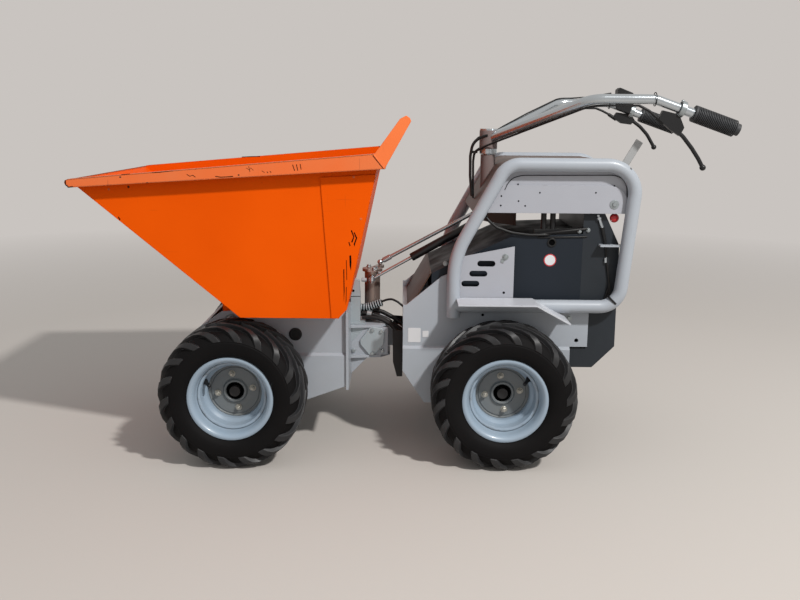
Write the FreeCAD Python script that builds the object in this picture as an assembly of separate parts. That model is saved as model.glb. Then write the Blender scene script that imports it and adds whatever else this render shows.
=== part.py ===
import FreeCAD, Part
import math
import os

V = FreeCAD.Vector

# All sizes in millimetres. X runs forward from the articulation axis, Y to the left, Z up from the ground.

# Reach of the skip's lip and of the grips from the articulation axis
FRONT_REACH = 790.0
REAR_REACH = 995.0
# The saved pieces are moved so that the whole length is centred on the origin
PIVOT_X = (REAR_REACH - FRONT_REACH) / 2

# Wheels
AXLE_X = 376.5
TYRE_R = 203.0
# The frames are drawn round a skip floor that clears the tyres' top, and rise as one on larger tyres
SKIP_FLOOR_Z = 423.0
TYRE_GAP = 17.0
TYRE_TOP_Z = SKIP_FLOOR_Z - TYRE_GAP
AXLE_Z = TYRE_TOP_Z - TYRE_R
RIDE_LIFT = TYRE_R - AXLE_Z
TYRE_W = 165.0
WHEEL_Y = 312.5
LUG_H = 13.0
BEAD_FIT = 0.5
LUGS = 18
# Lug: lead in degrees, half width, top's drop and inset from the side, floor's drop and inset
LUG_STATIONS = [(5.0, 11.0, 15.0, 3.5, 9.0, 14.5), (16.0, 10.5, 1.5, 28.5, 3.0, 32.5),
                (40.0, 8.0, 0.0, 78.5, 2.0, 78.5)]
LUG_SKIRT = 4.5
BEAD_R = 102.0
RIM_FLANGE_R = 118.0
RIM_HALF_W = 70.5
RIM_T = 4.0
DISC_Y = -12.5
DISC_T = 5.0
WELL_R = 80.0
HUB_FLANGE_R = 65.0
HUB_R = 30.0
HUB_IN_Y = -72.0
STUB_R = 15.0
BOLT_CIRCLE = 100.0
WHEEL_BOLTS = 4
NUT_R = 8.5
NUT_H = 9.0
RUNNING_FIT = 0.05

# Chassis plates
PLATE_T = 6.0
PLATE_Y = 206.0
JOGGLE = 8.0
AXLE_TUBE_R = 32.0
CASE_LOW = 43.0
CASE_HIGH = 80.0

# Front frame
FRONT_REAR_X = 70.0
FRONT_FOLD_Z = 279.0
FRONT_TOP_Z = SKIP_FLOOR_Z - 15
DECK_T = 6.0
HINGE_X = 405.0
HINGE_Z = FRONT_TOP_Z - 22
HINGE_EAR_R = 24.0
HINGE_PIN_R = 10.0
FRONT_BELLY_Z = AXLE_Z - 56
FRONT_SIDE = [(FRONT_REAR_X, FRONT_BELLY_Z + 41), (182.0, FRONT_BELLY_Z), (470.0, FRONT_BELLY_Z),
              (548.0, 250.0), (548.0, 298.0), (500.0, FRONT_TOP_Z - 50), (428.0, FRONT_TOP_Z),
              (FRONT_REAR_X, FRONT_TOP_Z)]

# Articulation joint
PIN_R = 20.0
JOINT_LOW_Z = 242.0
JOINT_HIGH_Z = 336.0
JOINT_PLATE_T = 8.0
CHEEK_Y = 74.0
CHEEK_T = 6.0
BOSS_R = 34.0
TONGUE_HALF_W = 22.0
JOINT_PLAN = [(FRONT_REAR_X, 95.0), (-28.0, 80.0), (-56.0, 48.0)]
CHEEK_LOW_Z = JOINT_LOW_Z + JOINT_PLATE_T
CHEEK_SIDE = [(FRONT_REAR_X, CHEEK_LOW_Z), (FRONT_REAR_X, CHEEK_LOW_Z + 31), (18.0, JOINT_HIGH_Z),
              (-50.0, JOINT_HIGH_Z), (-50.0, CHEEK_LOW_Z)]
HEX_COVER = [(30.0, 297.0), (24.0, 315.0), (-32.0, 318.0), (-35.0, 286.0), (-12.0, 254.0),
             (6.0, 254.0), (34.0, 279.0)]

# Steering post and linkage
POST_R = 24.0
POST_TOP_Z = 497.0
ARM_T = 8.0
ARM_Y = 62.0
ARM_HALF_W = 13.0
ARM_BACK = 22.0
FLANGE_R = 31.0
ROD_R = 6.0
BALL_R = 8.5
ROD_FRONT_Z = 514.0
ROD_REAR_Z = 702.0
STUD_R = 5.0
DAMPER_FRONT_Z = 482.0
DAMPER_REAR_X = -340.0
DAMPER_REAR_Z = 674.0
DAMPER_R = 10.5
DAMPER_ROD_R = 5.0
DAMPER_TUBE_LEN = 226.0
BOLT_GAP = 3.0

# Steering column
COLUMN_X = -347.0
COLUMN_R = 22.0
STEM_R = 15.0
COLUMN_LOW_Z = 730.0
COLUMN_TOP_Z = 855.0
SLEEVE_R = 26.0
SLEEVE_LOW_Z = 858.0
SLEEVE_TOP_Z = 931.0

# Handlebar
BAR_R = 13.0
BAR_Y = 260.0
HANDLE_LEN = 230.0
BAR_KNEE_X = HANDLE_LEN - REAR_REACH
BAR_BEND_X = BAR_KNEE_X + 168
BAR_Z = 1014.0
BAR_START_Z = 903.0
BAR_DROP = 0.345
GRIP_R = 16.5
GRIP_LEN = 132.0
GRIP_CAP = 8.0
CABLE_R = 3.0
BOX_TOP_Z = BAR_Z + 34
# Hand lever's outline and ball, measured from the knee of the bar
LEVER = [(-21.0, -29.0), (-65.0, -39.0), (-81.0, -84.0), (-107.0, -121.0), (-146.0, -178.0), (-133.0, -185.0),
         (-91.0, -130.0), (-65.0, -99.0), (-41.0, -78.0), (-11.0, -52.0)]
LEVER_BALL = (-139.0, -182.0)

# Rear frame
REAR_FRONT_X = -95.0
REAR_FOLD_Z = 303.0
REAR_DECK_Z = 441.0
REAR_END_X = -632.0
BULKHEAD_TOP_Z = REAR_DECK_Z - 29
LEDGE_X = REAR_FRONT_X - 17
REAR_BELLY_Z = AXLE_Z - 63
REAR_SIDE = [(REAR_FRONT_X, 237.0), (-159.0, REAR_BELLY_Z), (-480.0, REAR_BELLY_Z), (-552.0, 262.0),
             (-581.0, 262.0), (-581.0, 311.0), (REAR_END_X, 311.0), (REAR_END_X, REAR_DECK_Z),
             (-257.0, REAR_DECK_Z),
             (-257.0, REAR_DECK_Z + 82), (-225.0, REAR_DECK_Z + 83), (-205.0, REAR_DECK_Z + 75),
             (-104.0, REAR_DECK_Z - 10), (REAR_FRONT_X, REAR_DECK_Z - 10)]
HOUSING_Y = 192.0
HOUSING_T = 4.0
HOUSING_REAR_X = -605.0
HOUSING_TOP_Z = REAR_DECK_Z + 200
HOUSING_SIDE = [(-176.0, REAR_DECK_Z), (-176.0, REAR_DECK_Z + 83), (-284.0, HOUSING_TOP_Z - 64),
                (-405.0, HOUSING_TOP_Z - 8), (HOUSING_REAR_X, HOUSING_TOP_Z), (HOUSING_REAR_X, REAR_DECK_Z)]
REAR_COVER_SIDE = [(HOUSING_REAR_X, REAR_DECK_Z), (HOUSING_REAR_X, 699.0), (-665.0, 699.0), (-710.0, 609.0),
                   (-713.0, 312.0), (-650.0, 248.0), (-584.0, 248.0), (-584.0, 306.0),
                   (REAR_END_X, 306.0), (REAR_END_X, REAR_DECK_Z)]

# Guard loops
LOOP_R = 19.0
LOOP_Y = 220.0
LOOP_LEG_X = -238.0
FENDER_Z = TYRE_TOP_Z + 49
LOOP_LOW_Z = FENDER_Z - LOOP_R
LOOP_TOP_Z = 836.0
LOOP_PATH = [(LOOP_LEG_X, LOOP_LOW_Z - 34), (LOOP_LEG_X, LOOP_LOW_Z + 139), (-380.0, LOOP_TOP_Z),
             (-745.0, LOOP_TOP_Z), (-710.0, LOOP_LOW_Z), (LOOP_LEG_X, LOOP_LOW_Z)]
LOOP_BENDS = [250.0, 62.0, 80.0, 60.0]
HOOD_OFFSET = 9.0
HOOD_T = 4.0
HOOD_GAP = 0.3
HOOD_LOW_Z = LOOP_TOP_Z - 139
HOOD_REAR_Z = LOOP_TOP_Z - 101
HOOD_UNDER_Z = LOOP_TOP_Z + HOOD_OFFSET - HOOD_T
PANEL_T = 4.0
PANEL_CORNER_R = 52.0
INNER_PANEL_Y = 202.0
WEB_X = -424.0
WEB_LOW_Z = 650.0
WEB_FOOT_Y = 80.0
PANEL_LOW_Z = 701.0
FENDER_T = 4.0
FENDER_OUT_Y = 322.0
LEVER_PIVOT = (-681.0, 728.0)
SIDE_LEVER = [(-691.0, 722.0), (-671.0, 722.0), (-673.0, 745.0), (-694.0, 830.0), (-738.0, 908.0),
              (-756.0, 897.0), (-714.0, 824.0), (-693.0, 745.0)]

# Skip
SKIP_T = 4.0
SKIP_Y = 343.0
RIM_OUT_Y = 375.0
SKIP_NOSE_X = 349.0
SKIP_HEEL_X = 81.0
SKIP_CHAMFER = (58.0, SKIP_FLOOR_Z + 26)
SKIP_FRONT_X = FRONT_REACH - 6
NOSE_LIP_H = 9.3
RIM_FRONT_Z = SKIP_FLOOR_Z + 372
RIM_SLOPE = 0.0896
SKIP_REAR_TOP_X = -31.0
RIM_REAR_X = -45.0
LIP_R = 8.0
APRON_FRONT_H = 22.0
APRON_REAR_H = 41.0
GUARD_Y = 340.0
GUARD_TOP = (-96.0, RIM_FRONT_Z + 170)
CORNER_TOP = [(-19.5, RIM_FRONT_Z + 18), (127.0, RIM_FRONT_Z + 9)]


def box(x0, x1, y0, y1, z0, z1):
    return Part.makeBox(x1 - x0, y1 - y0, z1 - z0, V(x0, y0, z0))


def cyl(x, y, z, radius, length, axis=V(0, 0, 1)):
    return Part.makeCylinder(radius, length, V(x, y, z), axis)


def side_plate(points, y0, y1):
    """A flat piece with a side outline of (x, z) points between two Y planes."""
    wire = Part.makePolygon([V(x, y0, z) for x, z in points + points[:1]])
    return Part.Face(wire).extrude(V(0, y1 - y0, 0))


def plan_plate(points, z0, z1):
    """A flat piece with a plan outline of (x, y) points between two heights."""
    wire = Part.makePolygon([V(x, y, z0) for x, y in points + points[:1]])
    return Part.Face(wire).extrude(V(0, 0, z1 - z0))


def mirrored(shape):
    return shape.mirror(V(0, 0, 0), V(0, 1, 0))


def fused(shapes):
    return shapes[0].multiFuse(shapes[1:]).removeSplitter()


def both(shape):
    """A piece and its mirror image on the other side."""
    return [shape, mirrored(shape)]


def offset_line(points, distance):
    """Open line of (x, z) points moved to its left by the distance."""
    moved = []
    for i in range(len(points) - 1):
        (ax, az), (bx, bz) = points[i], points[i + 1]
        length = math.hypot(bx - ax, bz - az)
        nx, nz = -(bz - az) / length * distance, (bx - ax) / length * distance
        moved.append(((ax + nx, az + nz), (bx + nx, bz + nz)))
    result = [moved[0][0]]
    for (a, b), (c, d) in zip(moved, moved[1:]):
        result.append(crossing(a, b, c, d))
    return result + [moved[-1][1]]


def crossing(a, b, c, d):
    """Where line ab meets line cd."""
    ux, uz, wx, wz = b[0] - a[0], b[1] - a[1], d[0] - c[0], d[1] - c[1]
    t = ((c[0] - a[0]) * wz - (c[1] - a[1]) * wx) / (ux * wz - uz * wx)
    return (a[0] + t * ux, a[1] + t * uz)


def offset_ring(points, distance):
    """Closed outline of (x, z) points moved to its left by the distance."""
    ring = offset_line([points[-1]] + points + points[:2], distance)
    return ring[1:-2]


def rounded_edges(points, bends):
    """Straight edges through 3-D points with a tangent arc at each inner corner."""
    edges = []
    start = points[0]
    for corner, following, radius in zip(points[1:-1], points[2:], bends):
        back = (start - corner).normalize()
        ahead = (following - corner).normalize()
        half = back.getAngle(ahead) / 2
        reach = radius / math.tan(half)
        first, last = corner + back * reach, corner + ahead * reach
        centre = corner + (back + ahead).normalize() * (radius / math.sin(half))
        middle = centre + (corner - centre).normalize() * radius
        edges.append(Part.makeLine(start, first))
        edges.append(Part.Arc(first, middle, last).toShape())
        start = last
    return edges + [Part.makeLine(start, points[-1])]


def pipe(points, bends, radius):
    """Round bar bent along 3-D points."""
    path = Part.Wire(rounded_edges(points, bends))
    ring = Part.Wire(Part.makeCircle(radius, points[0], points[1] - points[0]))
    return path.makePipeShell([ring], True, True)


def bent_sheet(points, bends, thickness, y0, y1):
    """Sheet that follows (x, z) points, with its thickness to the left of the line."""
    outer = [V(x, y0, z) for x, z in points]
    inner = [V(x, y0, z) for x, z in offset_line(points, thickness)]
    tight = [bend - thickness for bend in bends]
    wire = Part.Wire(rounded_edges(outer, bends) + [Part.makeLine(outer[-1], inner[-1])]
                     + rounded_edges(inner, tight)[::-1] + [Part.makeLine(inner[0], outer[0])])
    return Part.Face(wire).extrude(V(0, y1 - y0, 0))


def save(name, shape, lift=RIDE_LIFT):
    shape.translated(V(PIVOT_X, 0, lift)).exportStep("parts/" + name + ".step")


def wheel_ring(points):
    """Turned ring round the Y axis from (radius, y) points."""
    wire = Part.makePolygon([V(r, y, 0) for r, y in points + points[:1]])
    return Part.Face(wire).revolve(V(0, 0, 0), V(0, 1, 0), 360)


def lug_rings(side):
    """Rings of points across one half of the tread, each with four points to a lug."""
    half, pitch = TYRE_W / 2, 360.0 / LUGS
    first = 0.0 if side > 0 else pitch / 2
    root = TYRE_R - LUG_H
    quarter = [-pitch / 4, -pitch / 4, pitch / 4, pitch / 4]
    heel_y = RIM_HALF_W - RIM_T
    plain = [(BEAD_R + BEAD_FIT, heel_y), (RIM_FLANGE_R + BEAD_FIT, heel_y), (150.0, half), (164.0, half - 0.3)]
    rings = [[(r, y, first + n * pitch + turn) for n in range(LUGS) for turn in quarter] for r, y in plain]
    for lead, width, top_drop, top_in, floor_drop, floor_in in LUG_STATIONS:
        spread = math.degrees(width / TYRE_R)
        skirt = math.degrees((width + LUG_SKIRT) / TYRE_R)
        top = ((TYRE_R - top_drop) / math.cos(math.radians(spread)), half - top_in)
        low = (root - floor_drop, half - floor_in)
        row = [(low, -skirt), (top, -spread), (top, spread), (low, skirt)]
        rings.append([(r, y, first + n * pitch - lead + turn) for n in range(LUGS) for (r, y), turn in row])
    return [[wheel_point(r, side * y, turn) for r, y, turn in ring] for ring in rings]


def wheel_point(radius, y, turn):
    angle = math.radians(turn)
    return V(radius * math.cos(angle), y, radius * math.sin(angle))


def triangles(corners):
    """Flat faces of a four-cornered patch, without the ones that have no area."""
    faces = []
    for a, b, c in ((0, 1, 2), (0, 2, 3)):
        points = [corners[a], corners[b], corners[c]]
        if (points[1] - points[0]).cross(points[2] - points[0]).Length > 1e-6:
            faces.append(Part.Face(Part.makePolygon(points + points[:1])))
    return faces


def band_faces(one, other):
    count = len(one)
    faces = []
    for i in range(count):
        k = (i + 1) % count
        faces += triangles([one[i], one[k], other[k], other[i]])
    return faces


def make_tyre():
    """Tyre whose two staggered rows of lugs curve from the side walls to the crown."""
    left, right = lug_rings(1), lug_rings(-1)
    faces = []
    for rings in (left, right):
        for one, other in zip(rings, rings[1:]):
            faces += band_faces(one, other)
        for n in range(LUGS):
            faces += triangles(rings[-1][4 * n:4 * n + 4])
    feet = [[ring[4 * n + k] for n in range(LUGS) for k in (0, 3)] for ring in (left[-1], right[-1])]
    heels = [[ring[4 * n + k] for n in range(LUGS) for k in (0, 3)] for ring in (left[0], right[0])]
    # The right half is half a pitch behind, which is one step of its ring
    faces += band_faces(feet[0], feet[1][-1:] + feet[1][:-1])
    faces += band_faces(heels[0], heels[1][-1:] + heels[1][:-1])
    shell = Part.makeShell(faces)
    shell.sewShape()
    return Part.Solid(shell.Shells[0]).removeSplitter()


def wheel_nuts():
    """Studs with hexagonal nuts on the disc's outer face."""
    nuts = []
    for n in range(WHEEL_BOLTS):
        turn = math.radians(45 + 360.0 * n / WHEEL_BOLTS)
        x, z = BOLT_CIRCLE / 2 * math.cos(turn), BOLT_CIRCLE / 2 * math.sin(turn)
        ring = [V(x + NUT_R * math.cos(math.radians(a)), DISC_Y, z + NUT_R * math.sin(math.radians(a)))
                for a in range(0, 361, 60)]
        nuts.append(Part.Face(Part.makePolygon(ring)).extrude(V(0, NUT_H, 0)))
        nuts.append(cyl(x, DISC_Y, z, NUT_R / 2, NUT_H + 4, V(0, 1, 0)))
    return nuts


def make_rim():
    seat_r, flange_in = BEAD_R, RIM_HALF_W - RIM_T
    skin = [(RIM_FLANGE_R, RIM_HALF_W), (RIM_FLANGE_R, flange_in), (seat_r, flange_in), (seat_r, 44.0),
            (91.0, 38.0), (91.0, 14.0), (WELL_R, 6.0), (WELL_R, -22.0), (91.0, -32.0), (seat_r, -46.0),
            (seat_r, -flange_in), (RIM_FLANGE_R, -flange_in), (RIM_FLANGE_R, -RIM_HALF_W),
            (seat_r - RIM_T, -RIM_HALF_W), (seat_r - RIM_T, -44.0), (87.0, -30.0), (WELL_R - RIM_T, -20.0),
            (WELL_R - RIM_T, 4.0), (87.0, 12.0), (87.0, 36.0), (seat_r - RIM_T, 42.0),
            (seat_r - RIM_T, RIM_HALF_W)]
    bore = STUB_R + RUNNING_FIT
    inner_face = DISC_Y - DISC_T
    disc = wheel_ring([(bore, DISC_Y), (WELL_R - RIM_T, DISC_Y), (WELL_R - RIM_T, inner_face),
                       (bore, inner_face)])
    hub = wheel_ring([(bore, DISC_Y + 7), (HUB_R, DISC_Y + 7), (HUB_R, DISC_Y), (HUB_R, inner_face),
                      (HUB_FLANGE_R, inner_face), (HUB_FLANGE_R, inner_face - 9), (HUB_R, inner_face - 13),
                      (HUB_R, HUB_IN_Y), (bore, HUB_IN_Y)])
    return fused([wheel_ring(skin), disc, hub] + wheel_nuts())


def save_wheels():
    tyre, rim = make_tyre(), make_rim()
    corners = [("front_left", AXLE_X, 1), ("front_right", AXLE_X, -1),
               ("rear_left", -AXLE_X, 1), ("rear_right", -AXLE_X, -1)]
    for corner, x, side in corners:
        for name, piece in (("tyre_", tyre), ("rim_", rim)):
            turned = piece if side > 0 else mirrored(piece)
            save(name + corner, turned.translated(V(x, side * WHEEL_Y, TYRE_R)), 0)


def make_axle(x):
    """Transaxle case with motor, axle tube and the two wheel stubs."""
    tube_end = PLATE_Y + 14
    case = [box(x - 75, x + 75, -70, 70, AXLE_Z - CASE_LOW, AXLE_Z + CASE_HIGH),
            cyl(x, -tube_end, AXLE_Z, AXLE_TUBE_R, 2 * tube_end, V(0, 1, 0))]
    stub_end = WHEEL_Y + DISC_Y + 12
    case.append(cyl(x, -stub_end, AXLE_Z, STUB_R, 2 * stub_end, V(0, 1, 0)))
    return fused(case)


def joggled_side(outline, fold_z):
    """Chassis side whose part under the fold stands out from the part above it."""
    low, high, out, inn = 0.0, 700.0, PLATE_Y, PLATE_Y - JOGGLE
    section = [(out, low), (out, fold_z), (inn, fold_z + JOGGLE), (inn, high), (inn - PLATE_T, high),
               (inn - PLATE_T, fold_z + JOGGLE - 2), (out - PLATE_T, fold_z - 2), (out - PLATE_T, low)]
    wire = Part.makePolygon([V(-900, y, z) for y, z in section + section[:1]])
    sheet = Part.Face(wire).extrude(V(1800, 0, 0))
    return sheet.common(side_plate(outline, 100, 300))


def make_front_chassis():
    inner = PLATE_Y - PLATE_T
    upper_in = inner - JOGGLE
    side = joggled_side(FRONT_SIDE, FRONT_FOLD_Z)
    side = side.fuse(cyl(HINGE_X, upper_in, HINGE_Z, HINGE_EAR_R, PLATE_T, V(0, 1, 0)))
    side = side.cut(cyl(HINGE_X, 150, HINGE_Z, HINGE_PIN_R, 100, V(0, 1, 0)))
    side = side.cut(cyl(AXLE_X, 150, AXLE_Z, AXLE_TUBE_R, 100, V(0, 1, 0)))
    rear_w = PLATE_Y + 6
    rear = box(FRONT_REAR_X - 8, FRONT_REAR_X, -rear_w, rear_w, FRONT_BELLY_Z + 31, FRONT_TOP_Z + 4)
    floor_z = FRONT_BELLY_Z + PLATE_T
    floor = box(FRONT_REAR_X, 470, -inner, inner, floor_z, floor_z + PLATE_T)
    floor = floor.common(side_plate(offset_ring(FRONT_SIDE, 1.0), -300, 300))
    nose = box(300, 600, -inner, inner, 160, 400)
    nose = nose.common(side_plate(FRONT_SIDE, -300, 300))
    nose = nose.cut(side_plate(offset_ring(FRONT_SIDE, PLATE_T), -300, 300))
    nose = nose.cut(box(290, 470, -300, 300, 130, 420)).cut(box(290, 520, -upper_in, upper_in, 345, 420))
    deck = box(FRONT_REAR_X, 330, -upper_in, upper_in, FRONT_TOP_Z - DECK_T, FRONT_TOP_Z)
    deck = deck.cut(box(FRONT_REAR_X + 70, 270, -120, 120, 380, 420))
    return fused(both(side) + [rear, floor, nose, deck])


def make_pivot_bracket():
    """Top and bottom plates with cheeks and gussets round the articulation pin."""
    plan = JOINT_PLAN + [(x, -y) for x, y in JOINT_PLAN[::-1]]
    rear_x = FRONT_REAR_X - 8
    low = plan_plate(plan, JOINT_LOW_Z, JOINT_LOW_Z + JOINT_PLATE_T)
    high = plan_plate(plan, JOINT_HIGH_Z, JOINT_HIGH_Z + JOINT_PLATE_T)
    cheeks = both(side_plate(CHEEK_SIDE, CHEEK_Y, CHEEK_Y + CHEEK_T))
    gusset = [(rear_x, JOINT_LOW_Z), (12.0, JOINT_LOW_Z), (rear_x, 190.0)]
    gussets = both(side_plate(gusset, CHEEK_Y, CHEEK_Y + CHEEK_T))
    bracket = fused([low, high] + cheeks + gussets)
    bracket = bracket.cut(box(rear_x, 100, -120, 120, 150, 400))
    return bracket.cut(cyl(0, 0, 200, PIN_R, 200))


def make_pin():
    length = JOINT_HIGH_Z + JOINT_PLATE_T - JOINT_LOW_Z
    return fused([cyl(0, 0, JOINT_LOW_Z, PIN_R, length), cyl(0, 0, JOINT_LOW_Z - 8, PIN_R + 6, 8)])


def make_hex_covers():
    plate = side_plate(HEX_COVER, CHEEK_Y + CHEEK_T, CHEEK_Y + CHEEK_T + 7)
    return Part.makeCompound(both(plate))


def rod_arm(x, z):
    """Arm from the axis at x to the steering rod's ball, swept back to the right."""
    end_x = x - ARM_BACK
    plan = [(x - ARM_HALF_W, 0), (end_x - ARM_HALF_W, -ARM_Y), (end_x + ARM_HALF_W, -ARM_Y), (x + ARM_HALF_W, 0)]
    return plan_plate(plan, z, z + ARM_T).fuse(cyl(end_x, -ARM_Y, z, ARM_HALF_W, ARM_T))


def make_post():
    """Post on the articulation axis with the two steering arms at its top."""
    foot_z = JOINT_HIGH_Z + JOINT_PLATE_T
    post = cyl(0, 0, foot_z, POST_R, POST_TOP_Z - foot_z)
    flange = cyl(0, 0, POST_TOP_Z, FLANGE_R, ARM_T)
    arms = [box(-ARM_HALF_W, ARM_HALF_W, 0, ARM_Y, POST_TOP_Z, POST_TOP_Z + ARM_T),
            cyl(0, ARM_Y, POST_TOP_Z, ARM_HALF_W, ARM_T), rod_arm(0, POST_TOP_Z)]
    ball_stud = cyl(-ARM_BACK, -ARM_Y, POST_TOP_Z - 8, STUD_R, ROD_FRONT_Z - POST_TOP_Z + 8)
    return fused([post, flange] + arms + [ball_stud])


def make_latch():
    """Upright that carries the skip's catch pin behind its rear wall."""
    foot_z = JOINT_HIGH_Z + JOINT_PLATE_T
    foot = box(24, 60, 38, 82, foot_z, foot_z + 6)
    side = [(36.0, foot_z), (57.0, foot_z), (57.0, 438.0), (45.0, 444.0), (45.0, 480.0), (40.0, 490.0),
            (30.0, 490.0), (30.0, 444.0), (36.0, 436.0)]
    pin = cyl(16, 60, 479, 6, 28, V(1, 0, 0))
    return fused([foot, side_plate(side, 48, 72), pin])


def make_rod():
    """Steering rod with a ball socket on each end."""
    rear_x = COLUMN_X - ARM_BACK
    start, end = V(-ARM_BACK, -ARM_Y, ROD_FRONT_Z), V(rear_x, -ARM_Y, ROD_REAR_Z)
    along = end - start
    bar = Part.makeCylinder(ROD_R, along.Length, start, along)
    sockets = [Part.makeSphere(BALL_R, p) for p in (start, end)]
    collars = [Part.makeCylinder(ROD_R + 2.5, 26, start + along * s, along * d)
               for s, d in ((0.03, 1), (0.97, -1))]
    rod = fused([bar] + sockets + collars)
    rod = rod.cut(cyl(-ARM_BACK, -ARM_Y, ROD_FRONT_Z - 20, STUD_R + RUNNING_FIT, 20.3))
    return rod.cut(cyl(rear_x, -ARM_Y, ROD_REAR_Z - 0.3, STUD_R + RUNNING_FIT, 20))


def damper_line():
    start = V(DAMPER_REAR_X, ARM_Y, DAMPER_REAR_Z)
    end = V(0, ARM_Y, DAMPER_FRONT_Z)
    return start, end, (end - start).normalize()


def eye(point, radius, width, axis):
    return Part.makeCylinder(radius, width, point - axis * (width / 2), axis)


def make_damper_tube():
    start, end, along = damper_line()
    tube = Part.makeCylinder(DAMPER_R, DAMPER_TUBE_LEN, start + along * 22, along)
    bore = Part.makeCylinder(DAMPER_ROD_R + RUNNING_FIT, DAMPER_TUBE_LEN - 20, start + along * 50, along)
    neck = Part.makeCylinder(5.5, 24, start, along)
    ring = eye(start, 10, 11, V(0, 1, 0))
    tube = fused([tube.cut(bore), neck, ring])
    return tube.cut(cyl(DAMPER_REAR_X, 0, DAMPER_REAR_Z, STUD_R + RUNNING_FIT, 120, V(0, 1, 0)))


def make_damper_rod():
    start, end, along = damper_line()
    reach = (end - start).Length
    inside = 22 + DAMPER_TUBE_LEN - 120
    bar = Part.makeCylinder(DAMPER_ROD_R, reach - inside, start + along * inside, along)
    bolt_low = DAMPER_FRONT_Z - 12
    bolt = cyl(0, ARM_Y, bolt_low, STUD_R, POST_TOP_Z - BOLT_GAP - bolt_low)
    return fused([bar, eye(end, 10, 11, V(0, 0, 1)), bolt])


def make_rear_chassis():
    inner = PLATE_Y - PLATE_T
    upper_in = inner - JOGGLE
    side = joggled_side(REAR_SIDE, REAR_FOLD_Z)
    side = side.cut(cyl(-AXLE_X, 150, AXLE_Z, AXLE_TUBE_R, 100, V(0, 1, 0)))
    side = side.cut(cyl(-600, 150, 330, 6, 100, V(0, 1, 0)))
    bulkhead = box(REAR_FRONT_X - 8, REAR_FRONT_X, -upper_in - 4, upper_in + 4, 237, BULKHEAD_TOP_Z)
    ledge = box(LEDGE_X, REAR_FRONT_X, -upper_in - 4, upper_in + 4, BULKHEAD_TOP_Z - 4, BULKHEAD_TOP_Z)
    floor_z = REAR_BELLY_Z + PLATE_T
    floor = box(-520, -120, -inner, inner, floor_z, floor_z + PLATE_T)
    floor = floor.common(side_plate(offset_ring(REAR_SIDE, -1.0), -300, 300))
    deck = box(REAR_END_X, -176, -upper_in, upper_in, REAR_DECK_Z - PLATE_T, REAR_DECK_Z)
    rear = box(REAR_END_X, REAR_END_X + 5, -upper_in, upper_in, 311, REAR_DECK_Z)
    return fused(both(side) + [bulkhead, ledge, floor, deck, rear])


def make_front_slope():
    """Sheet that leans back from the bulkhead's ledge to the housing's front top corner."""
    top_x, top_z = HOUSING_SIDE[1]
    line = [(LEDGE_X, BULKHEAD_TOP_Z), (LEDGE_X + 4.5, BULKHEAD_TOP_Z), (top_x + 4.5, top_z), (top_x, top_z)]
    return side_plate(line, 0.3 - HOUSING_Y, HOUSING_Y - 0.3)


def make_tongue():
    """Pivot boss with its tongue to the rear frame's bulkhead."""
    low, high = JOINT_LOW_Z + JOINT_PLATE_T + 0.3, JOINT_HIGH_Z - 0.3
    mid = (low + high) / 2
    boss = cyl(0, 0, low, BOSS_R, high - low)
    tongue = box(REAR_FRONT_X, 0, -TONGUE_HALF_W, TONGUE_HALF_W, mid - 28, mid + 28)
    wing = [(REAR_FRONT_X, 60.0), (REAR_FRONT_X, -60.0), (-78.0, -TONGUE_HALF_W), (-78.0, TONGUE_HALF_W)]
    root = plan_plate(wing, mid - 28, mid + 28)
    return fused([boss, tongue, root]).cut(cyl(0, 0, 200, PIN_R + RUNNING_FIT, 200))


def shell(outline, half_width, thickness):
    """Hollow cover whose side outline runs counter-clockwise in X and Z."""
    body = side_plate(outline, -half_width, half_width)
    hollow = side_plate(offset_ring(outline, thickness), thickness - half_width, half_width - thickness)
    return body.cut(hollow)


def make_housing():
    cover = shell(HOUSING_SIDE, HOUSING_Y, HOUSING_T)
    under = box(HOUSING_REAR_X + 4, -180, 8 - HOUSING_Y, HOUSING_Y - 8, 430, 460)
    return cover.cut(under)


def make_rear_cover():
    return shell(REAR_COVER_SIDE, HOUSING_Y, HOUSING_T)


def make_battery():
    rear = HOUSING_REAR_X + 15
    return box(rear, rear + 220, -150, 150, REAR_DECK_Z, HOUSING_TOP_Z - 41)


def loop_point(x, z):
    return V(x, LOOP_Y, z)


def make_loop():
    """Bent guard tube whose lower run is welded into its front leg."""
    leg, knee, front, rear, foot, end = [loop_point(x, z) for x, z in LOOP_PATH]
    half_way = (rear + foot) * 0.5
    upper = pipe([leg, knee, front, rear, half_way], LOOP_BENDS[:3], LOOP_R)
    lower = pipe([half_way, foot, end], LOOP_BENDS[3:], LOOP_R)
    bracket = box(-727, -650, HOUSING_Y, LOOP_Y, 608, 613)
    bracket = bracket.cut(box(-683, -662, HOUSING_Y, HOUSING_Y + 2 * CABLE_R + 2, 600, 620))
    return fused([upper, lower, bracket])


def loop_sheet(outline, y0, y1):
    """Sheet of the given outline, ended at the guard tube's centre line."""
    start = loop_point(LOOP_LEG_X, LOOP_LOW_Z)
    corners = [start] + [loop_point(x, z) for x, z in LOOP_PATH[1:-1]] + [start]
    inside = Part.Face(Part.Wire(rounded_edges(corners, LOOP_BENDS)))
    inside = inside.translated(V(0, y0 - LOOP_Y, 0)).extrude(V(0, y1 - y0, 0))
    return inside.common(side_plate(outline, y0, y1))


def hood_line():
    """Line of the hood's outer face, which follows the guard tubes."""
    line = offset_line(LOOP_PATH[1:5], -HOOD_OFFSET)
    start = crossing(line[0], line[1], (0, HOOD_LOW_Z), (1, HOOD_LOW_Z))
    end = crossing(line[2], line[3], (0, HOOD_REAR_Z), (1, HOOD_REAR_Z))
    return [start, line[1], line[2], end]


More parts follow.
